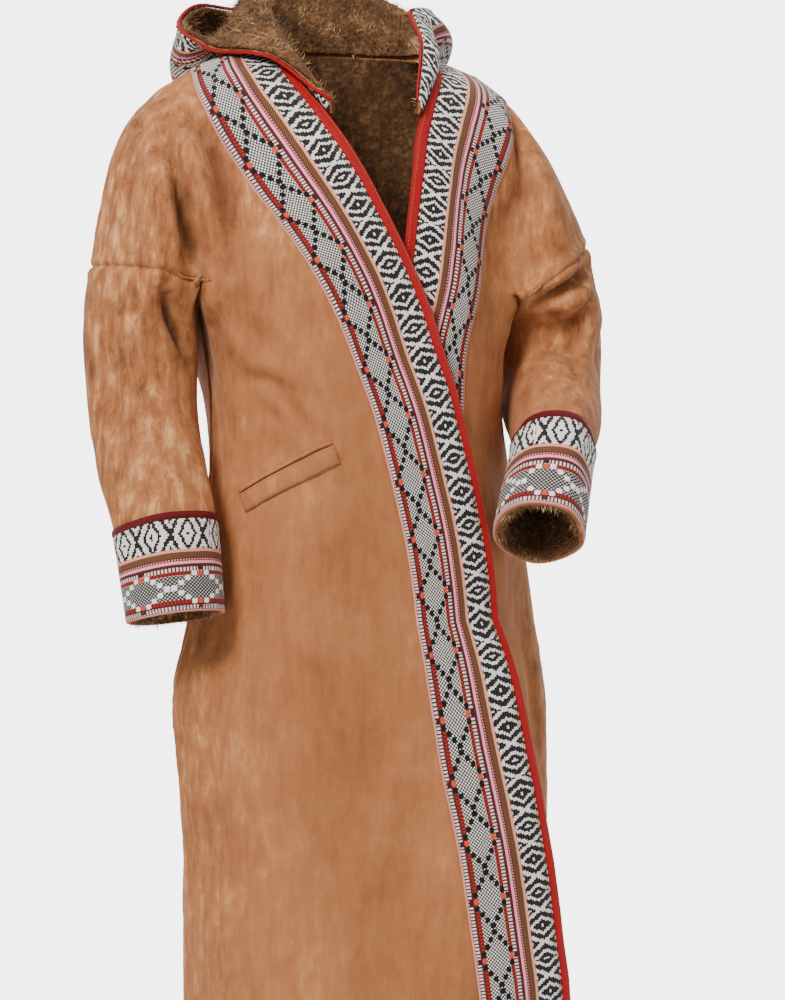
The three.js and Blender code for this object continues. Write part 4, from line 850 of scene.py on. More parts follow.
def cloth(name, grids, normals, turned, thick, looks, charts=None, shades=None):
    """A piece of cloth with both faces and its edge. Points that lie together in its grids are one point."""
    points = np.concatenate([g.reshape(-1, 3) for g in grids])
    away = np.concatenate([n.reshape(-1, 3) for n in normals])
    firsts = np.cumsum([0] + [g.size // 3 for g in grids])
    quads = np.concatenate([quads_of(*g.shape[:2], turned, f) for g, f in zip(grids, firsts)])
    _, index, ids = np.unique(np.round(points * 200).astype(np.int64), axis=0, return_index=True, return_inverse=True)
    ids = ids.ravel()
    outer, away = points[index], away[index]
    inner = outer - away * thick
    count = len(outer)
    faces = ids[quads]
    sides = np.concatenate([quads[:, [k, (k + 1) % 4]] for k in range(4)])
    _, where, uses = np.unique(np.sort(ids[sides], axis=1), axis=0, return_index=True, return_counts=True)
    rim = sides[where[uses == 1]]
    a, b = ids[rim[:, 0]], ids[rim[:, 1]]
    edge = np.stack([b, a, a + count, b + count], axis=1)
    every = np.concatenate([faces, faces[:, ::-1] + count, edge])
    # Seam allowances turned in at the armpits show their suede side
    numbers = np.repeat([0, 1 if len(looks) > 1 else 0, 0], [len(faces), len(faces), len(edge)])
    for armpit in UNDERARM.values():
        near = np.linalg.norm(inner[faces[:, 0]] - armpit, axis=1) < ARMPIT_REACH
        numbers[len(faces):2 * len(faces)][near] = 0
    charted = None
    if charts is not None:
        chart = np.concatenate([c.reshape(-1, 2) for c in charts])
        edge_chart = rim[:, [1, 0, 0, 1]]
        charted = chart[np.concatenate([quads, quads[:, ::-1], edge_chart])]
    made = sewn_mesh(name, np.concatenate([outer, inner]), every, looks, numbers, charted)
    # The painted shade of the creases is kept on each point as the 'fold' attribute, which darkens the suede's colour
    if shades is not None:
        shade = np.concatenate([s.ravel() for s in shades])[index]
        layer = made.data.attributes.new("fold", "FLOAT", "POINT")
        layer.data.foreach_set("value", np.concatenate([shade, shade]).astype(np.float32))
    return made


def cut_size(grid):
    """Width, length and area, in metres, of the piece as it was cut, from the length of its longest row and column."""
    across = lengths_down(grid.swapaxes(0, 1))[-1].max()
    down_it = lengths_down(grid)[-1].max()
    a, b, c, d = grid[:-1, :-1], grid[1:, :-1], grid[1:, 1:], grid[:-1, 1:]
    area = np.linalg.norm(np.cross(c - a, d - b), axis=-1).sum() / 2
    return round(across / 1000, 3), round(down_it / 1000, 3), area / 1e6


def declare_cloth(grids):
    """Works out a box that the cloth was cut to and the area of cloth in it; the result is not kept or used."""
    sizes = [cut_size(grid) for grid in grids]
    width, length = max(size[0] for size in sizes), sum(size[1] for size in sizes)
    area = sum(size[2] for size in sizes)
    if area > width * length:
        length = area / width
    min(area, width * length)


SUEDE_THICK = 4
PANELS = {
    "back": ["back_yoke", "back_body"], "front_right": ["front_right"], "front_left": ["front_left"],
    "sleeve_right": ["sleeve_right"], "sleeve_left": ["sleeve_left"],
}
for node_name, parts in PANELS.items():
    grids = [coat[part] for part in parts]
    panel = cloth(f"{node_name}_cloth", grids, [coat_normals[part] for part in parts], FACES_TURNED[parts[0]],
                  SUEDE_THICK, [suede, lining], None, [coat_shade[part] for part in parts])
    fitted(panel, node_name)
    declare_cloth(grids)

# ---------------------------------------------------------------------------------------------------------------
# Front bands: a woven wool band 85 mm wide on each front, from the shoulder seam round the neckline to the hem.
# It is a 2 mm cloth of coloured warps with pattern threads over it, laid on the suede and sewn along both edges.
BAND_THICK, LAID_GAP = 2, 0.3
WOVEN_WIDTH, BRAID_WIDTH = 85, 10
WEAVE_SHARE = 0.865     # mm of the chart for each mm along the band
# Columns of the weave, in mm from its outer edge, and the repeats along it
LADDERS, RED_BARS, TICK_REPEAT = (3.9, 38.7), (9.3, 34.8), 3.2
DOTTED_LINE, TWILL, ZIGZAG = 47.5, 51.7, 55.8
MESH_MIDDLE, MESH_HALF, MESH_THREADS = 22.05, 11.0, (3.3, 3.6)
DIAMOND_START, DIAMOND_REPEAT, DIAMOND_ROW, DIAMOND_STEP = -15.5, 27.9, 6.2, 4.1
NESTED_FROM, NESTED_MIDDLE, NESTED_START, NESTED_REPEAT, NESTED_SLOPE = 57.4, 71.2, 7.3, 15.4, 0.47
BEAD, BEAD_ROW = 2.3, 1.5
# Where each ground colour starts, and where each bar of the nested diamonds starts, dark ones as 1
WEAVE_GROUND = [
    (0, (226, 150, 140)), (1.6, (84, 28, 34)), (7.6, (152, 36, 24)), (11.0, (244, 238, 228)), (33.2, (152, 36, 24)),
    (36.4, (84, 28, 34)), (43.3, (246, 158, 166)), (46.0, (96, 32, 40)), (49.3, (80, 50, 27)), (54.2, (222, 134, 112)),
    (57.4, (228, 220, 208)),
]
NESTED_BARS = [(0, 1), (1.4, 0), (5.6, 1), (8.6, 0), (13.6, 1), (17.2, 0), (20.4, 1)]
NESTED_REACH = 26


def woven_finish(name, other_face=False):
    """The band's weave: lines along it, a column of stepped diamonds on a mesh and one of nested diamonds.

    The columns are dark on light, and light on dark on the cloth's other face.
    """
    look = Finish(name)
    chart = look.node("ShaderNodeUVMap", {"uv_map": "weave"}, {})
    across = look.node("ShaderNodeSeparateXYZ", {}, {"Vector": chart})
    place = look.place()
    x = across + (look.chance(place, 55, 2) - 0.5) * 0.7
    y = across.output(1) * WEAVE_SHARE + (look.chance(place, 40, 2) - 0.5) * 1.0
    stops = [(start / WOVEN_WIDTH, rgb(*colour)) for start, colour in WEAVE_GROUND]
    ground = look.shades(x / WOVEN_WIDTH, stops, "CONSTANT")
    light, dark, mesh_thread = rgb(250, 243, 234), rgb(16, 11, 11), rgb(58, 52, 48)

    def within(value, middle, half):
        return abs(value - middle) < half

    def either(middles, half):
        return within(x, middles[0], half).most(within(x, middles[1], half))

    # Ladders of white ticks beside the red bars, and dark dots in the bars
    ladder = either(LADDERS, 1.9) * ((y % TICK_REPEAT) < 1.8)
    colour = look.blend(ladder, ground, rgb(232, 216, 206))
    dots = either(RED_BARS, 1.5) * ((y % TICK_REPEAT) < 1.3)
    colour = look.blend(dots, colour, rgb(88, 20, 18))
    # A dotted line, twill and a zigzag between the two columns
    ribs = within(x, DOTTED_LINE, 0.7) * ((y % 2.6) < 1.4)
    colour = look.blend(ribs, colour, rgb(228, 146, 144))
    twill = within(x, TWILL, 2.4) * (((y + x) % 2.4) < 0.9)
    colour = look.blend(twill, colour, rgb(124, 84, 50))
    zigzag = abs(x - ZIGZAG - (y.bounce(1.7) - 0.85) * 0.8) < 0.5
    colour = look.blend(zigzag, colour, rgb(238, 164, 144))
    # Mesh of two threads
    middle = x - MESH_MIDDLE
    in_mesh = abs(middle) < MESH_HALF
    threads = (x * (math.tau / MESH_THREADS[0])).cosine() * (y * (math.tau / MESH_THREADS[1])).cosine()
    if other_face:
        colour = look.blend(in_mesh, colour, rgb(44, 40, 38))
        colour = look.blend(in_mesh * (threads > 0.3), colour, rgb(206, 200, 192))
    else:
        colour = look.blend(in_mesh * (threads > -0.14), colour, mesh_thread)
    # Stepped diamonds: rows of dots that widen from a tip to the middle of the repeat and close again
    rise = (y + middle * 0.07 + DIAMOND_START).bounce(DIAMOND_REPEAT) / DIAMOND_ROW
    row = rise.rounded()
    out = (0.5 + (4 - row) * DIAMOND_STEP).least(12.8)
    dot = ((abs(abs(middle) - out) / 2.25) ** 4 + ((rise - row) * 2.35) ** 4) < 1
    diamond = dot * (abs(middle) < 16)
    colour = look.blend(diamond * (row > 0.5), colour, light if other_face else dark)
    colour = look.blend(diamond * (row < 0.5), colour, rgb(206, 74, 46))
    colour = look.blend(within(abs(middle), 17.4, 1.9) * (rise < 0.45), colour, rgb(62, 18, 24))
    # Nested diamonds that meet in an X, in beads of thread
    side = ((x - NESTED_MIDDLE) / BEAD).rounded() * BEAD
    level = y + (x - NESTED_MIDDLE) * 0.05 + NESTED_START
    step = (level / BEAD_ROW).rounded() * BEAD_ROW
    rings = abs(side) * NESTED_SLOPE + step.bounce(NESTED_REPEAT)
    stops = [(start / NESTED_REACH, (shade, shade, shade, 1)) for start, shade in NESTED_BARS]
    bars = look.shades(rings / NESTED_REACH, stops, "CONSTANT")
    in_bars = x > NESTED_FROM
    both = (light, dark) if other_face else (dark, light)
    colour = look.blend(in_bars, colour, look.blend(bars, *both))
    beads = (x * (math.tau / BEAD)).cosine()
    colour = look.blend(in_bars * (beads < -0.7) * 0.45, colour, rgb(96, 84, 78))
    fuzz = look.chance(place, 700, 3, 0.7)
    faded = look.chance(place, 22, 3)
    colour = look.blend(1 - (0.74 + 0.3 * fuzz + 0.14 * faded).least(1), colour, rgb(20, 14, 12))
    lift = threads * in_mesh * 0.4 + diamond * 0.8 + ladder * 0.5 + (beads + bars) * in_bars * 0.35
    return look.done(colour, 0.9, lift + ribs * 0.5 + fuzz * 0.6, 0.0007, 0.1)


woven = woven_finish("woven_wool")
band_columns = [k for k, place in enumerate(BAND_PLACES) if place >= BRAID_WIDTH]
band_across = WOVEN_WIDTH + BRAID_WIDTH - np.array([BAND_PLACES[k] for k in band_columns])
for name in ("right", "left"):
    front = f"front_{name}"
    grid, away = coat[front][:, band_columns], coat_normals[front][:, band_columns]
    raised = np.full(len(band_columns), LAID_GAP + BAND_THICK)
    raised[-1] -= 0.7
    raised_grid = grid + away * (raised + ripple(grid, 60, 11.0) * 0.5)[..., None]
    chart = charted_by(band_across, places[name][2][:, None])
    band = cloth(f"{front}_woven_band", [raised_grid], [away], FACES_TURNED[front], BAND_THICK, [woven], [chart])
    fitted(band, f"front_band_{name}")
    declare_cloth([raised_grid])

# ---------------------------------------------------------------------------------------------------------------
# Front braids: a bright red braid 10 mm wide that binds each front edge, folded round it and sewn through.
# The piece is a closed tube whose section goes over the face, round the edge and back along the inside.
BRAID_SECTION = [
    (9.8, 0.2), (9.7, 1.7), (8.6, 2.5), (6.4, 2.9), (3.4, 2.9), (0.8, 2.5), (-0.7, 1.3), (-1.1, -0.6), (-1.1, -2.8),
    (-0.6, -4.5), (0.8, -5.1), (3.2, -5.2), (5.0, -4.9), (5.3, -3.6), (0.6, -2.6), (0.4, 0.2),
]


def tube(name, rings, looks, charted):
    """A closed tube through rings of points [ring, corner], with flat ends."""
    rows, sides = rings.shape[:2]
    k = np.arange(rows * sides).reshape(rows, sides)
    after = np.roll(k, -1, axis=1)
    quads = np.stack([k[:-1], k[1:], after[1:], after[:-1]], axis=-1).reshape(-1, 4)
    closing = np.concatenate([charted, charted[:, :1] + [charted[0, -1, 0] - charted[0, -2, 0], 0]], axis=1)
    corner = np.arange(rows * (sides + 1)).reshape(rows, sides + 1)
    chart_quads = np.stack([corner[:-1, :-1], corner[1:, :-1], corner[1:, 1:], corner[:-1, 1:]], -1).reshape(-1, 4)
    ends = [k[0].tolist(), k[-1][::-1].tolist()]
    points = rings.reshape(-1, 3)
    a, b, c = (points[quads[:, j]] for j in range(3))
    outward = (np.cross(b - a, c - a) * (a - rings.mean(1)[quads[:, 0] // sides])).sum()
    chart = closing.reshape(-1, 2)
    corners = [chart[chart_quads].reshape(-1, 2), chart[corner[0, :-1]], chart[corner[-1, :-1][::-1]]]
    faces = quads.tolist() + ends
    if outward < 0:
        faces = [face[::-1] for face in faces]
        corners = [corners[0].reshape(-1, 4, 2)[:, ::-1].reshape(-1, 2), corners[1][::-1], corners[2][::-1]]
    return sewn_mesh(name, points, faces, looks, [0] * len(faces), np.concatenate(corners))


BRAID_STRAND = 2.2


def braid_finish(name, bright, deep):
    """Red braid: slanting strands that meet along its middle, with a soft silky gloss. Each strand is painted lighter
    along its crest and darker in the groove beside it.
    """
    look = Finish(name)
    chart = look.node("ShaderNodeUVMap", {"uv_map": "weave"}, {})
    split = look.node("ShaderNodeSeparateXYZ", {}, {"Vector": chart})
    strand = ((split.output(1) + abs(split - BRAID_WIDTH / 2) * 0.8) * (math.tau / BRAID_STRAND)).cosine()
    fibre = look.chance(look.place(), 800, 3, 0.7)
    # Painted highlight and shade: each strand is bright along its crest and deep in the groove beside it; the fibre
    # noise is the yarn's own uneven tone
    colour = look.blend((strand * 0.35 + 0.4 + fibre * 0.35).least(1), deep, bright)
    return look.done(colour, 0.62, strand * 0.7 + fibre * 0.5, 0.0007, 0.15, bright)


red_braid = braid_finish("red_braid", rgb(208, 24, 26), rgb(112, 6, 10))
braid_section = np.array(BRAID_SECTION)
braid_inwards, braid_up = braid_section.T
BRAID_COLUMNS = 5
for name in ("right", "left"):
    front = f"front_{name}"
    grid, away = coat[front][:, :BRAID_COLUMNS], coat_normals[front][:, :BRAID_COLUMNS]
    share = np.clip(braid_inwards, 0, BRAID_WIDTH) / BRAID_WIDTH * (BRAID_COLUMNS - 1)
    column = np.minimum(share.astype(int), BRAID_COLUMNS - 2)
    part = (share - column)[None, :, None]
    base = grid[:, column] * (1 - part) + grid[:, column + 1] * part
    inwards = unit(grid[:, 1] - grid[:, 0])
    base = base + inwards[:, None] * np.minimum(braid_inwards, 0)[None, :, None]
    rings = base + away[:, column] * braid_up[None, :, None]
    chart = charted_by(lengths_down(braid_section), places[name][2][:, None])
    fitted(tube(f"{front}_edge_braid", rings, [red_braid], chart), f"front_braid_{name}")

# ---------------------------------------------------------------------------------------------------------------
# Cuffs: round each sleeve's end goes a dark red braid, then the same woven band turned on its side, and inside
# the mouth the pile facing shows. Band and braid are laid on the sleeve and sewn; the pile is part of its lining.
cuff_woven = woven_finish("cuff_woven_wool", True)
dark_braid = braid_finish("dark_red_braid", rgb(128, 22, 26), rgb(60, 8, 12))
cuff_top = len(sleeve_v) - len(cuff_rows) - 1
CUFF_FUR_THICK, CUFF_FUR_ROWS = 5, 13
CUFF_BRAID_THICK, CUFF_BRAID_RISE = 2.0, (2.0, 2.9, 2.0)


class Strands(Tree):
    """Geometry Nodes that stand strands of pile on a surface, leaning along its 'lay' attribute."""

    def __init__(self, name, sizes, look):
        group = bpy.data.node_groups.new(name, "GeometryNodeTree")
        super().__init__(group)
        group.interface.new_socket(name="Geometry", in_out="INPUT", socket_type="NodeSocketGeometry")
        for label, value in sizes.items():
            socket = group.interface.new_socket(name=label, in_out="INPUT", socket_type="NodeSocketFloat")
            socket.default_value = value
        group.interface.new_socket(name="Geometry", in_out="OUTPUT", socket_type="NodeSocketGeometry")
        start = self.node("NodeGroupInput", {}, {})
        self.given = {label: start.output(label) for label in ("Geometry", *sizes)}
        self.look = look

    def finish(self, geometry):
        whole = self.node("GeometryNodeRealizeInstances", {}, {"Geometry": geometry})
        whole = self.node("GeometryNodeSetMaterial", {}, {"Geometry": whole, "Material": self.look})
        self.node("NodeGroupOutput", {}, {"Geometry": whole})

    def grow(self, name, surface, **sizes):
        """The strands on one surface, as a plain mesh of its own."""
        modifier = surface.modifiers.new("strands", "NODES")
        modifier.node_group = self.tree
        for item in self.tree.interface.items_tree:
            if item.in_out == "INPUT" and item.name in sizes:
                modifier[item.identifier] = float(sizes[item.name])
        graph = bpy.context.evaluated_depsgraph_get()
        mesh = bpy.data.meshes.new_from_object(surface.evaluated_get(graph))
        surface.modifiers.remove(modifier)
        return stood(name, mesh)


def pile_finish(name):
    """Faux fur: dark brown at the root, chestnut along the strand and golden at its tip, in uneven tufts. The golden
    tips are the pile's own colour; its broad golden patches are partly uneven tufts and partly painted highlight, where
    its gloss catches the light.
    """
    look = Finish(name)
    tip = look.node("ShaderNodeAttribute", {"attribute_name": "tip"}, {}, "Fac")
    place = look.place()
    tuft_and_highlight = look.chance(place, 42, 3, 0.55, 0.7)
    strand = look.chance(place, 420, 2)
    # Painted highlight: the broad golden patches of the tufts stand partly for light caught on the pile's gloss
    tone = tip * 0.42 + (tuft_and_highlight - 0.5) * 2.3 + strand * 0.25 + 0.1
    colour = look.shades(tone, [
        (0.05, rgb(34, 20, 12)), (0.32, rgb(88, 56, 32)), (0.58, rgb(150, 106, 64)), (0.92, rgb(240, 206, 158)),
    ])
    return look.done(colour, 0.62, strand, 0.0002, 0.3, rgb(235, 200, 150))


pile = pile_finish("brown_pile")
strands = Strands("pile_strands", {"Length": 0.008, "Width": 0.0009, "Apart": 0.0024, "Lean": 0.9, "Seed": 4}, pile)
given = strands.given
blade = strands.node("GeometryNodeMeshGrid", {}, {"Size X": 1.0, "Size Y": 1.0, "Vertices X": 2, "Vertices Y": 4})
split = strands.node("ShaderNodeSeparateXYZ", {}, {"Vector": strands.node("GeometryNodeInputPosition", {}, {})})
up = split.output(1) + 0.5
width = split * given["Width"] * (1.08 - up)
bent = strands.node("ShaderNodeCombineXYZ", {}, {
    "X": width, "Y": up * up * given["Length"] * 0.42, "Z": up * given["Length"] * (1.0 - up * 0.18)})
blade = strands.node("GeometryNodeSetPosition", {}, {"Geometry": blade, "Position": bent})
blade = strands.node("GeometryNodeStoreNamedAttribute", {"data_type": "FLOAT", "domain": "POINT"},
                     {"Geometry": blade, "Name": "tip", "Value": up})
blade = strands.node("GeometryNodeSetShadeSmooth", {}, {"Geometry": blade})
roots = strands.node("GeometryNodeDistributePointsOnFaces", {"distribute_method": "POISSON"}, {
    "Mesh": given["Geometry"], "Distance Min": given["Apart"], "Density Max": 1 / (given["Apart"] * given["Apart"]),
    "Seed": given["Seed"]})
lay = strands.node("GeometryNodeInputNamedAttribute", {"data_type": "FLOAT_VECTOR"}, {"Name": "lay"})
stray = strands.node("FunctionNodeRandomValue", {"data_type": "FLOAT_VECTOR"},
                     {"Min": (-0.5, -0.5, -0.5), "Max": (0.5, 0.5, 0.5), "Seed": 11})
lean = strands.node("ShaderNodeVectorMath", {"operation": "SCALE"}, {0: lay, "Scale": given["Lean"]})
heading = strands.node("ShaderNodeVectorMath", {"operation": "ADD"}, {0: roots.output("Normal"), 1: lean})
heading = strands.node("ShaderNodeVectorMath", {"operation": "ADD"}, {0: heading, 1: stray})
turned = strands.node("FunctionNodeAlignRotationToVector", {"axis": "Z"}, {"Vector": heading})
spin = strands.node("FunctionNodeRandomValue", {"data_type": "FLOAT"}, {2: 0.0, 3: 6.283, "Seed": 3}, 1)
spun = strands.node("FunctionNodeAxisAngleToRotation", {}, {"Axis": (0, 0, 1), "Angle": spin})
turned = strands.node("FunctionNodeRotateRotation", {"rotation_space": "LOCAL"},
                      {"Rotation": turned, "Rotate By": spun})
size = strands.node("FunctionNodeRandomValue", {"data_type": "FLOAT"}, {2: 0.65, 3: 1.25, "Seed": 8}, 1)
strands.finish(strands.node("GeometryNodeInstanceOnPoints", {}, {
    "Points": roots, "Instance": blade, "Rotation": turned, "Scale": size}))


def lay_on(surface, directions):
    """Stores on a surface the way its pile is brushed, one direction for each point."""
    layer = surface.data.attributes.new("lay", "FLOAT_VECTOR", "POINT")
    layer.data.foreach_set("vector", np.asarray(directions, dtype=np.float32).ravel())


for name in ("right", "left"):
    part = f"sleeve_{name}"
    grid, away, turned_over = coat[part], coat_normals[part], FACES_TURNED[part]
    round_it = lengths_down(grid[-10])
    braid_rows, band_rows = slice(cuff_top, cuff_top + 3), slice(cuff_top + 2, len(sleeve_v))
    raised = np.array(CUFF_BRAID_RISE)[:, None, None]
    chart = charted_by(np.array([0, BRAID_WIDTH / 2, BRAID_WIDTH])[:, None], round_it)
    braid = cloth(f"cuff_{name}_braid", [grid[braid_rows] + away[braid_rows] * raised], [away[braid_rows]],
                  turned_over, CUFF_BRAID_THICK, [dark_braid], [chart])
    depth = lengths_down(grid[band_rows])
    chart = charted_by(WOVEN_WIDTH * (1 - depth / depth[-1:]), round_it)
    raised = np.full(len(depth), LAID_GAP + BAND_THICK)
    raised[-1] -= 0.5
    band_grid = grid[band_rows] + away[band_rows] * raised[:, None, None]
    band = cloth(f"cuff_{name}_woven_band", [band_grid], [away[band_rows]], turned_over, BAND_THICK,
                 [cuff_woven], [chart])
    grid, away = grid[-CUFF_FUR_ROWS:], away[-CUFF_FUR_ROWS:]
    facing = cloth(f"cuff_{name}_facing", [grid - away * (SUEDE_THICK + LAID_GAP)], [away], turned_over,
                   CUFF_FUR_THICK, [lining])
    lay_on(facing, np.tile(grid[-1].mean(0) - grid[-8].mean(0), (len(facing.data.vertices), 1)) / 30)
    tufts = strands.grow(f"cuff_{name}_pile", facing, Apart=0.0021, Length=0.008, Seed=5)
    fitted(braid, f"cuff_braid_{name}")
    fitted(band, f"cuff_band_{name}")
    fitted(facing, f"cuff_fur_{name}")
    fitted(tufts, f"cuff_fur_{name}")
    declare_cloth([band_grid])

# ---------------------------------------------------------------------------------------------------------------
# Pocket: a slanting welt of the same suede on the right front, folded double and stitched all round, and the
# narrow lip above its slit. Both are laid on the front and follow its curve.
WELT_INNER, WELT_OUTER = (0.78, 4.97), (2.2, 5.5)
WELT_HEIGHT, WELT_THICK, WELT_LIP, WELT_SLIT, WELT_STANDS = 20, 3, 4, 2, 1.2
WELT_EDGE = 0.6     # how far its flattened edges stand off the front
front_quads = quads_of(*coat["front_right"].shape[:2], FACES_TURNED["front_right"])
front_tree = BVHTree.FromPolygons(coat["front_right"].reshape(-1, 3).tolist(), front_quads.tolist())


def on_front(points):
    """The nearest points of the right front, and its outward directions there."""
    found = [front_tree.find_nearest(Vector(p)) for p in points]
    return np.array([tuple(f[0]) for f in found]), np.array([tuple(f[1]) for f in found])


t = np.linspace(0, 1, 41)
welt_w = WELT_INNER[0] + (WELT_OUTER[0] - WELT_INNER[0]) * t
welt_v = WELT_INNER[1] + (WELT_OUTER[1] - WELT_INNER[1]) * t
welt_top, welt_away = on_front(body(welt_w, welt_v))
welt_down = unit(np.cross(welt_away, np.gradient(welt_top, axis=0)))


def laid_strip(name, offset, height, thick, rows):
    """A strip of suede along the pocket, crowned across and flattened at its ends."""
    points, aways = [], []
    for share in np.linspace(0, 1, rows):
        spots, away = on_front(welt_top + welt_down * (offset + share * height))
        crown = math.sin(math.pi * (0.12 + 0.76 * share)) ** 0.5
        ends = np.clip(np.sin(np.pi * (0.03 + 0.94 * t)) * 3, 0.4, 1)[:, None]
        points.append(spots + away * (WELT_EDGE + (WELT_STANDS - WELT_EDGE + thick) * crown * ends))
        aways.append(away)
    grid, aways = np.array(points), np.array(aways)
    fitted(cloth(name, [grid], [aways], True, thick, [suede]), f"{name}_right")
    return grid, aways


welt_grid, welt_aways = laid_strip("pocket_welt", 0, WELT_HEIGHT, WELT_THICK, 11)
laid_strip("pocket_lip", -(WELT_LIP + WELT_SLIT), WELT_LIP, WELT_THICK / 2, 5)

# ---------------------------------------------------------------------------------------------------------------
# Hood: a suede pouch sewn to the neckline and thrown back, lined with the same brown pile as the coat. The woven
# band goes round its outside below the rim, and a thin red piping is sewn into the rim itself.
# Stations round the neckline, each with its profile: how far out and how high five points lie above the seam
HOOD_STATIONS = [
    (1, (1, 3), (2, 5), (3, 7), (4, 9), (5, 11)),
    (2, (1, 7), (3, 13), (6, 15), (10, 12), (14, 6)),
    (3, (1, 12), (5, 21), (13, 20), (23, 11), (34, 2)),
    (4, (2, 22), (12, 40), (30, 26), (50, 10), (68, 1)),
    (5, (3, 34), (20, 60), (50, 14), (84, 2), (100, 25)),
    (6, (4, 38), (24, 66), (78, -50), (116, -18), (92, 52)),
    (7, (5, 38), (26, 66), (72, -118), (118, -50), (88, 54)),
    (8, (6, 38), (27, 64), (68, -142), (116, -68), (80, 52)),
    (9, (5, 34), (26, 58), (66, -88), (104, -34), (66, 52)),
    (10, (5, 24), (24, 40), (56, -18), (84, 12), (50, 54)),
    (11, (5, 12), (14, 22), (33, 12), (42, 36), (14, 54)),
    (12, (6, 8), (9, 19), (10, 30), (4, 42), (-10, 50)),
    (13, (5, 7), (6, 16), (5, 25), (-2, 34), (-13, 41)),
    (14, (4, 6), (5, 13), (3, 20), (-2, 27), (-10, 32)),
    (15, (1, 3), (1, 6), (1, 8), (0, 11), (-2, 14)),
]
HOOD_THICK, HOOD_GAP, PIPING_RADIUS, PIPING_LOW = 2.5, 1.2, 2, 0.8
HOOD_BAND_LEAST = 0.28      # share of the hood's height below which its band never starts
HOOD_SEAM = 1.2             # the hood stands this far above the neckline's edge
RIM = 5
hood_profiles = []
for station, *offsets in HOOD_STATIONS:
    w = station if station <= YOKE_CENTRE else station - 2 * YOKE_CENTRE
    edge, below = body([w], [0.0])[0], body([w], [0.01])[0]
    seam = edge + unit(edge - below) * HOOD_SEAM
    outwards = np.array([edge[0], edge[1], 0]) / np.hypot(edge[0], edge[1])
    hood_profiles.append([seam, *(seam + outwards * out + [0, 0, rise] for out, rise in offsets)])
hood_profiles = np.array(hood_profiles)


def hood(s, t):
    """Points of the hood at each s, from the right front end round to the left, and t, from the neckline up."""
    s, t = np.broadcast_arrays(np.asarray(s, float), np.asarray(t, float))
    shape = s.shape
    s, t = s.ravel(), t.ravel()
    lines = np.stack([down(np.repeat(hood_profiles[:, k][:, None], len(s), 1), s) for k in range(RIM + 1)])
    return down(lines, t).reshape(*shape, 3)


hood_span = np.linspace(0, len(HOOD_STATIONS) - 1, 169)
samples = np.linspace(0, RIM, 121)
lengths = lengths_down(hood(hood_span[None], samples[:, None]))
LOWER_ROWS, UPPER_ROWS = 40, 22
rows = []
for k in range(len(hood_span)):
    total = lengths[-1, k]
    start = max(total - WOVEN_WIDTH - BRAID_WIDTH, total * HOOD_BAND_LEAST)
    lower = np.linspace(0, 1, LOWER_ROWS + 1) * np.interp(start, lengths[:, k], samples)
    upper = np.interp(np.linspace(start, total, UPPER_ROWS + 1)[1:], lengths[:, k], samples)
    rows.append(np.concatenate([lower, upper]))
rows = np.array(rows).T
hood_grid = hood(hood_span[None], rows)


def evened(directions, passes):
    """Directions on a grid, averaged with their neighbours."""
    for _ in range(passes):
        edge = np.pad(directions, ((1, 1), (1, 1), (0, 0)), mode="edge")
        directions = unit(2 * directions + edge[:-2, 1:-1] + edge[2:, 1:-1] + edge[1:-1, :-2] + edge[1:-1, 2:])
    return directions


FACES_TURNED["hood"] = False
hood_away = evened(sewn_normals({"hood": hood_grid})["hood"], 60)
hood_relief = 1.2 * ripple(hood_grid, 55, 2.0) + 0.5 * ripple(hood_grid, 22, 6.0)
ends = np.clip(np.minimum(hood_span, hood_span[-1] - hood_span) / 2, 0, 1)
hood_grid = hood_grid + hood_away * (hood_relief * ends)[..., None]
shell = cloth("hood_suede", [hood_grid], [hood_away], False, HOOD_THICK, [suede])
pile_thick = 2.5 + 1.5 * ends
fur_grid = hood_grid - hood_away * (HOOD_THICK + HOOD_GAP)
fur = cloth("hood_pile_backing", [fur_grid], [hood_away * pile_thick[None, :, None]], False, 1.0, [lining])
combed = unit(np.gradient(hood_grid, axis=0))
_, index = np.unique(np.round(fur_grid.reshape(-1, 3) * 200).astype(np.int64), axis=0, return_index=True)
lay_on(fur, np.tile(combed.reshape(-1, 3)[index] * 0.7, (2, 1)))
fur_strands = strands.grow("hood_pile", fur, Apart=0.0027, Length=0.009, Width=0.001, Seed=9)

rim = hood_grid[-1]
rim_along = lengths_down(rim)
depth = lengths_down(hood_grid[LOWER_ROWS:])
chart = charted_by(WOVEN_WIDTH - (depth[-1:] - depth), rim_along)
hood_band_grid = hood_grid[LOWER_ROWS:] + hood_away[LOWER_ROWS:] * (HOOD_GAP + BAND_THICK)
hood_band = cloth("hood_woven_band", [hood_band_grid], [hood_away[LOWER_ROWS:]], False, BAND_THICK, [woven], [chart])

upwards = unit(rim - hood_grid[-2])
outwards = unit(np.cross(upwards, unit(np.gradient(rim, axis=0))))
centre = rim + upwards * (PIPING_RADIUS + PIPING_LOW) - outwards * HOOD_THICK / 2
turn = np.linspace(0, 2 * np.pi, 11)[:-1]
rings = centre[:, None] + PIPING_RADIUS * (
    outwards[:, None] * np.cos(turn)[None, :, None] + upwards[:, None] * np.sin(turn)[None, :, None])
chart = charted_by(turn * PIPING_RADIUS, rim_along[:, None])
piping = tube("hood_rim_piping", rings, [red_braid], chart)
for made, node_name, slot in (
    (shell, "hood_shell", "suede"), (fur, "hood_fur", "fur"), (fur_strands, "hood_fur", "fur"),
    (hood_band, "hood_band", "woven_wool"), (piping, "hood_piping", "red_braid"),
):
    fitted(made, node_name)
declare_cloth([hood_grid])
declare_cloth([hood_band_grid])

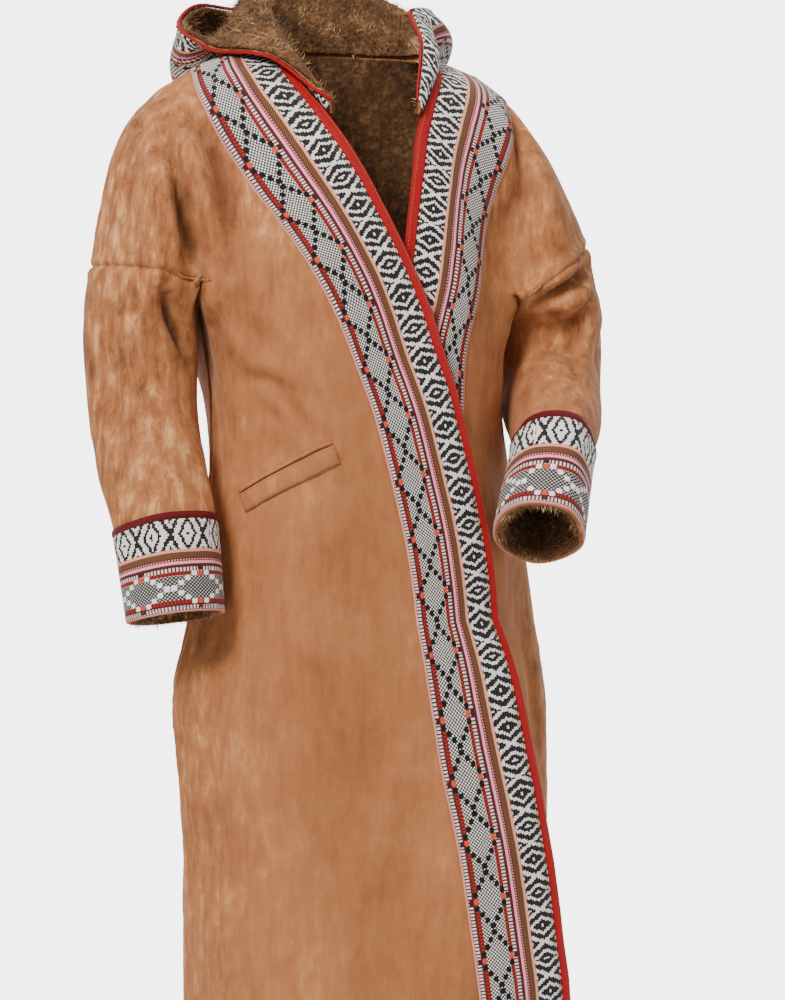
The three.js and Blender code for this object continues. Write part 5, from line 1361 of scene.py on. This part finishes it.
# ---------------------------------------------------------------------------------------------------------------
# Stitches: the bands, braids and pocket are sewn on with a strong thread in a stitch of about 4 mm, and each line
# runs a little inside the edge that it holds.
thread_look = Finish("sewing_thread")
thread_colour = thread_look.shades(thread_look.chance(thread_look.place(), 1200, 2), [
    (0.3, rgb(120, 74, 46)), (0.7, rgb(176, 122, 84))])
thread = thread_look.done(thread_colour, 0.7, 0.5, 0.0001)
stitching = Strands("stitches", {"Pitch": 0.0042, "Length": 0.0029, "Thick": 0.00075}, thread)
given = stitching.given
path = stitching.node("GeometryNodeMeshToCurve", {}, {"Mesh": given["Geometry"]})
dots = stitching.node("GeometryNodeCurveToPoints", {"mode": "LENGTH"}, {"Curve": path, "Length": given["Pitch"]})
turned = stitching.node("FunctionNodeAlignRotationToVector", {"axis": "Z"}, {"Vector": dots.output("Tangent")})
bead = stitching.node("GeometryNodeMeshUVSphere", {}, {"Segments": 6, "Rings": 4, "Radius": 0.5})
shape = stitching.node("ShaderNodeCombineXYZ", {}, {"X": given["Thick"], "Y": given["Thick"], "Z": given["Length"]})
stitching.finish(stitching.node("GeometryNodeInstanceOnPoints", {}, {
    "Points": dots, "Instance": bead, "Rotation": turned, "Scale": shape}))


def sew_along(name, points):
    """Stitches along a line of points in mm."""
    mesh = bpy.data.meshes.new(f"{name}_line")
    mesh.from_pydata((np.asarray(points) / 1000).tolist(), [(k, k + 1) for k in range(len(points) - 1)], [])
    line = stood(f"{name}_line", mesh)
    seam = stitching.grow(name, line)
    bpy.data.objects.remove(line)
    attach(seam, "root")


def between_columns(grid, place):
    """The line down a front at this distance from its edge."""
    column = int(np.searchsorted(BAND_PLACES, place)) - 1
    part = (place - BAND_PLACES[column]) / (BAND_PLACES[column + 1] - BAND_PLACES[column])
    return grid[:, column] * (1 - part) + grid[:, column + 1] * part


for name in ("right", "left"):
    front = f"front_{name}"
    for label, place, up in (("outer", 93.4, 1.9), ("inner", 11.4, 2.4), ("braid", 1.6, 2.75)):
        line = between_columns(coat[front], place) + between_columns(coat_normals[front], place) * up
        sew_along(f"{front}_{label}_stitches", line[1:-1])
    sleeve_grid, sleeve_away = coat[f"sleeve_{name}"], coat_normals[f"sleeve_{name}"]
    for label, row, up in (("top", cuff_top + 3, 2.4), ("hem", len(sleeve_v) - 2, 2.4)):
        sew_along(f"cuff_{name}_{label}_stitches", sleeve_grid[row] + sleeve_away[row] * up)
sewn_at = welt_grid + welt_aways * 0.15
round_welt = [sewn_at[1, 1:-1], sewn_at[2:-1, -2], sewn_at[-2, -2:0:-1], sewn_at[-2:0:-1, 1]]
sew_along("pocket_stitches", np.concatenate(round_welt))

# ---------------------------------------------------------------------------------------------------------------
# Floor, light and camera: a plain pale floor under a soft studio light.
FLOOR_HEIGHT, FLOOR_HALF = -1.5, 1.5
floor_mesh = bpy.data.meshes.new("floor")
corners = [(x * FLOOR_HALF, y * FLOOR_HALF, FLOOR_HEIGHT) for x, y in ((-1, -1), (1, -1), (1, 1), (-1, 1))]
floor_mesh.from_pydata(corners, [], [(0, 1, 2, 3)])
floor_mesh.materials.append(Finish("floor").done(rgb(226, 224, 220), 0.9, 0.0, 0.0))
stood("floor", floor_mesh)

CAMERA_TURN = math.radians(-18)
CAMERA_RIGHT = Vector((math.cos(CAMERA_TURN), math.sin(CAMERA_TURN), 0))
CAMERA_BACK = Vector((math.sin(CAMERA_TURN), -math.cos(CAMERA_TURN), 0))

# A white backdrop stands behind the coat, and the rest of the studio is dimmer
STUDIO_LIGHT, BACKDROP_LIGHT = 0.55, 4.6
world = bpy.data.worlds.new("studio")
bpy.context.scene.world = world
world.use_nodes = True
studio = Tree(world.node_tree)
direction = studio.node("ShaderNodeTexCoord", {}, {}, "Generated")
ahead = studio.node("ShaderNodeVectorMath", {"operation": "DOT_PRODUCT"}, {0: direction, 1: -CAMERA_BACK}, "Value")
strength = STUDIO_LIGHT + BACKDROP_LIGHT * ahead.ramp(0.6, 0.95)
backdrop = studio.node("ShaderNodeBackground", {}, {"Color": rgb(250, 250, 252), "Strength": strength})
studio.node("ShaderNodeOutputWorld", {}, {"Surface": backdrop})
COAT_MIDDLE = Vector((0, 0, -0.45))
for name, place, size, energy in (
    ("key", (-2.6, -2.6, 2.0), 1.2, 240), ("fill", (2.4, -3.2, 0.2), 2.0, 26), ("top", (0.2, 0.4, 2.6), 2.0, 50),
):
    light = bpy.data.lights.new(name, "AREA")
    light.size, light.energy = size, energy
    lamp = stood(name, light)
    lamp.location = place
    lamp.rotation_euler = (COAT_MIDDLE - lamp.location).to_track_quat("-Z", "Y").to_euler()

camera_data = bpy.data.cameras.new("camera")
camera_data.sensor_fit, camera_data.sensor_height, camera_data.lens = "VERTICAL", 36, 120.5
camera = stood("camera", camera_data)
camera.location = Vector((0, 0, -0.478)) + CAMERA_RIGHT * 0.0457 + CAMERA_BACK * 3.6
camera.rotation_euler = (math.pi / 2, 0, CAMERA_TURN)
bpy.context.scene.camera = camera
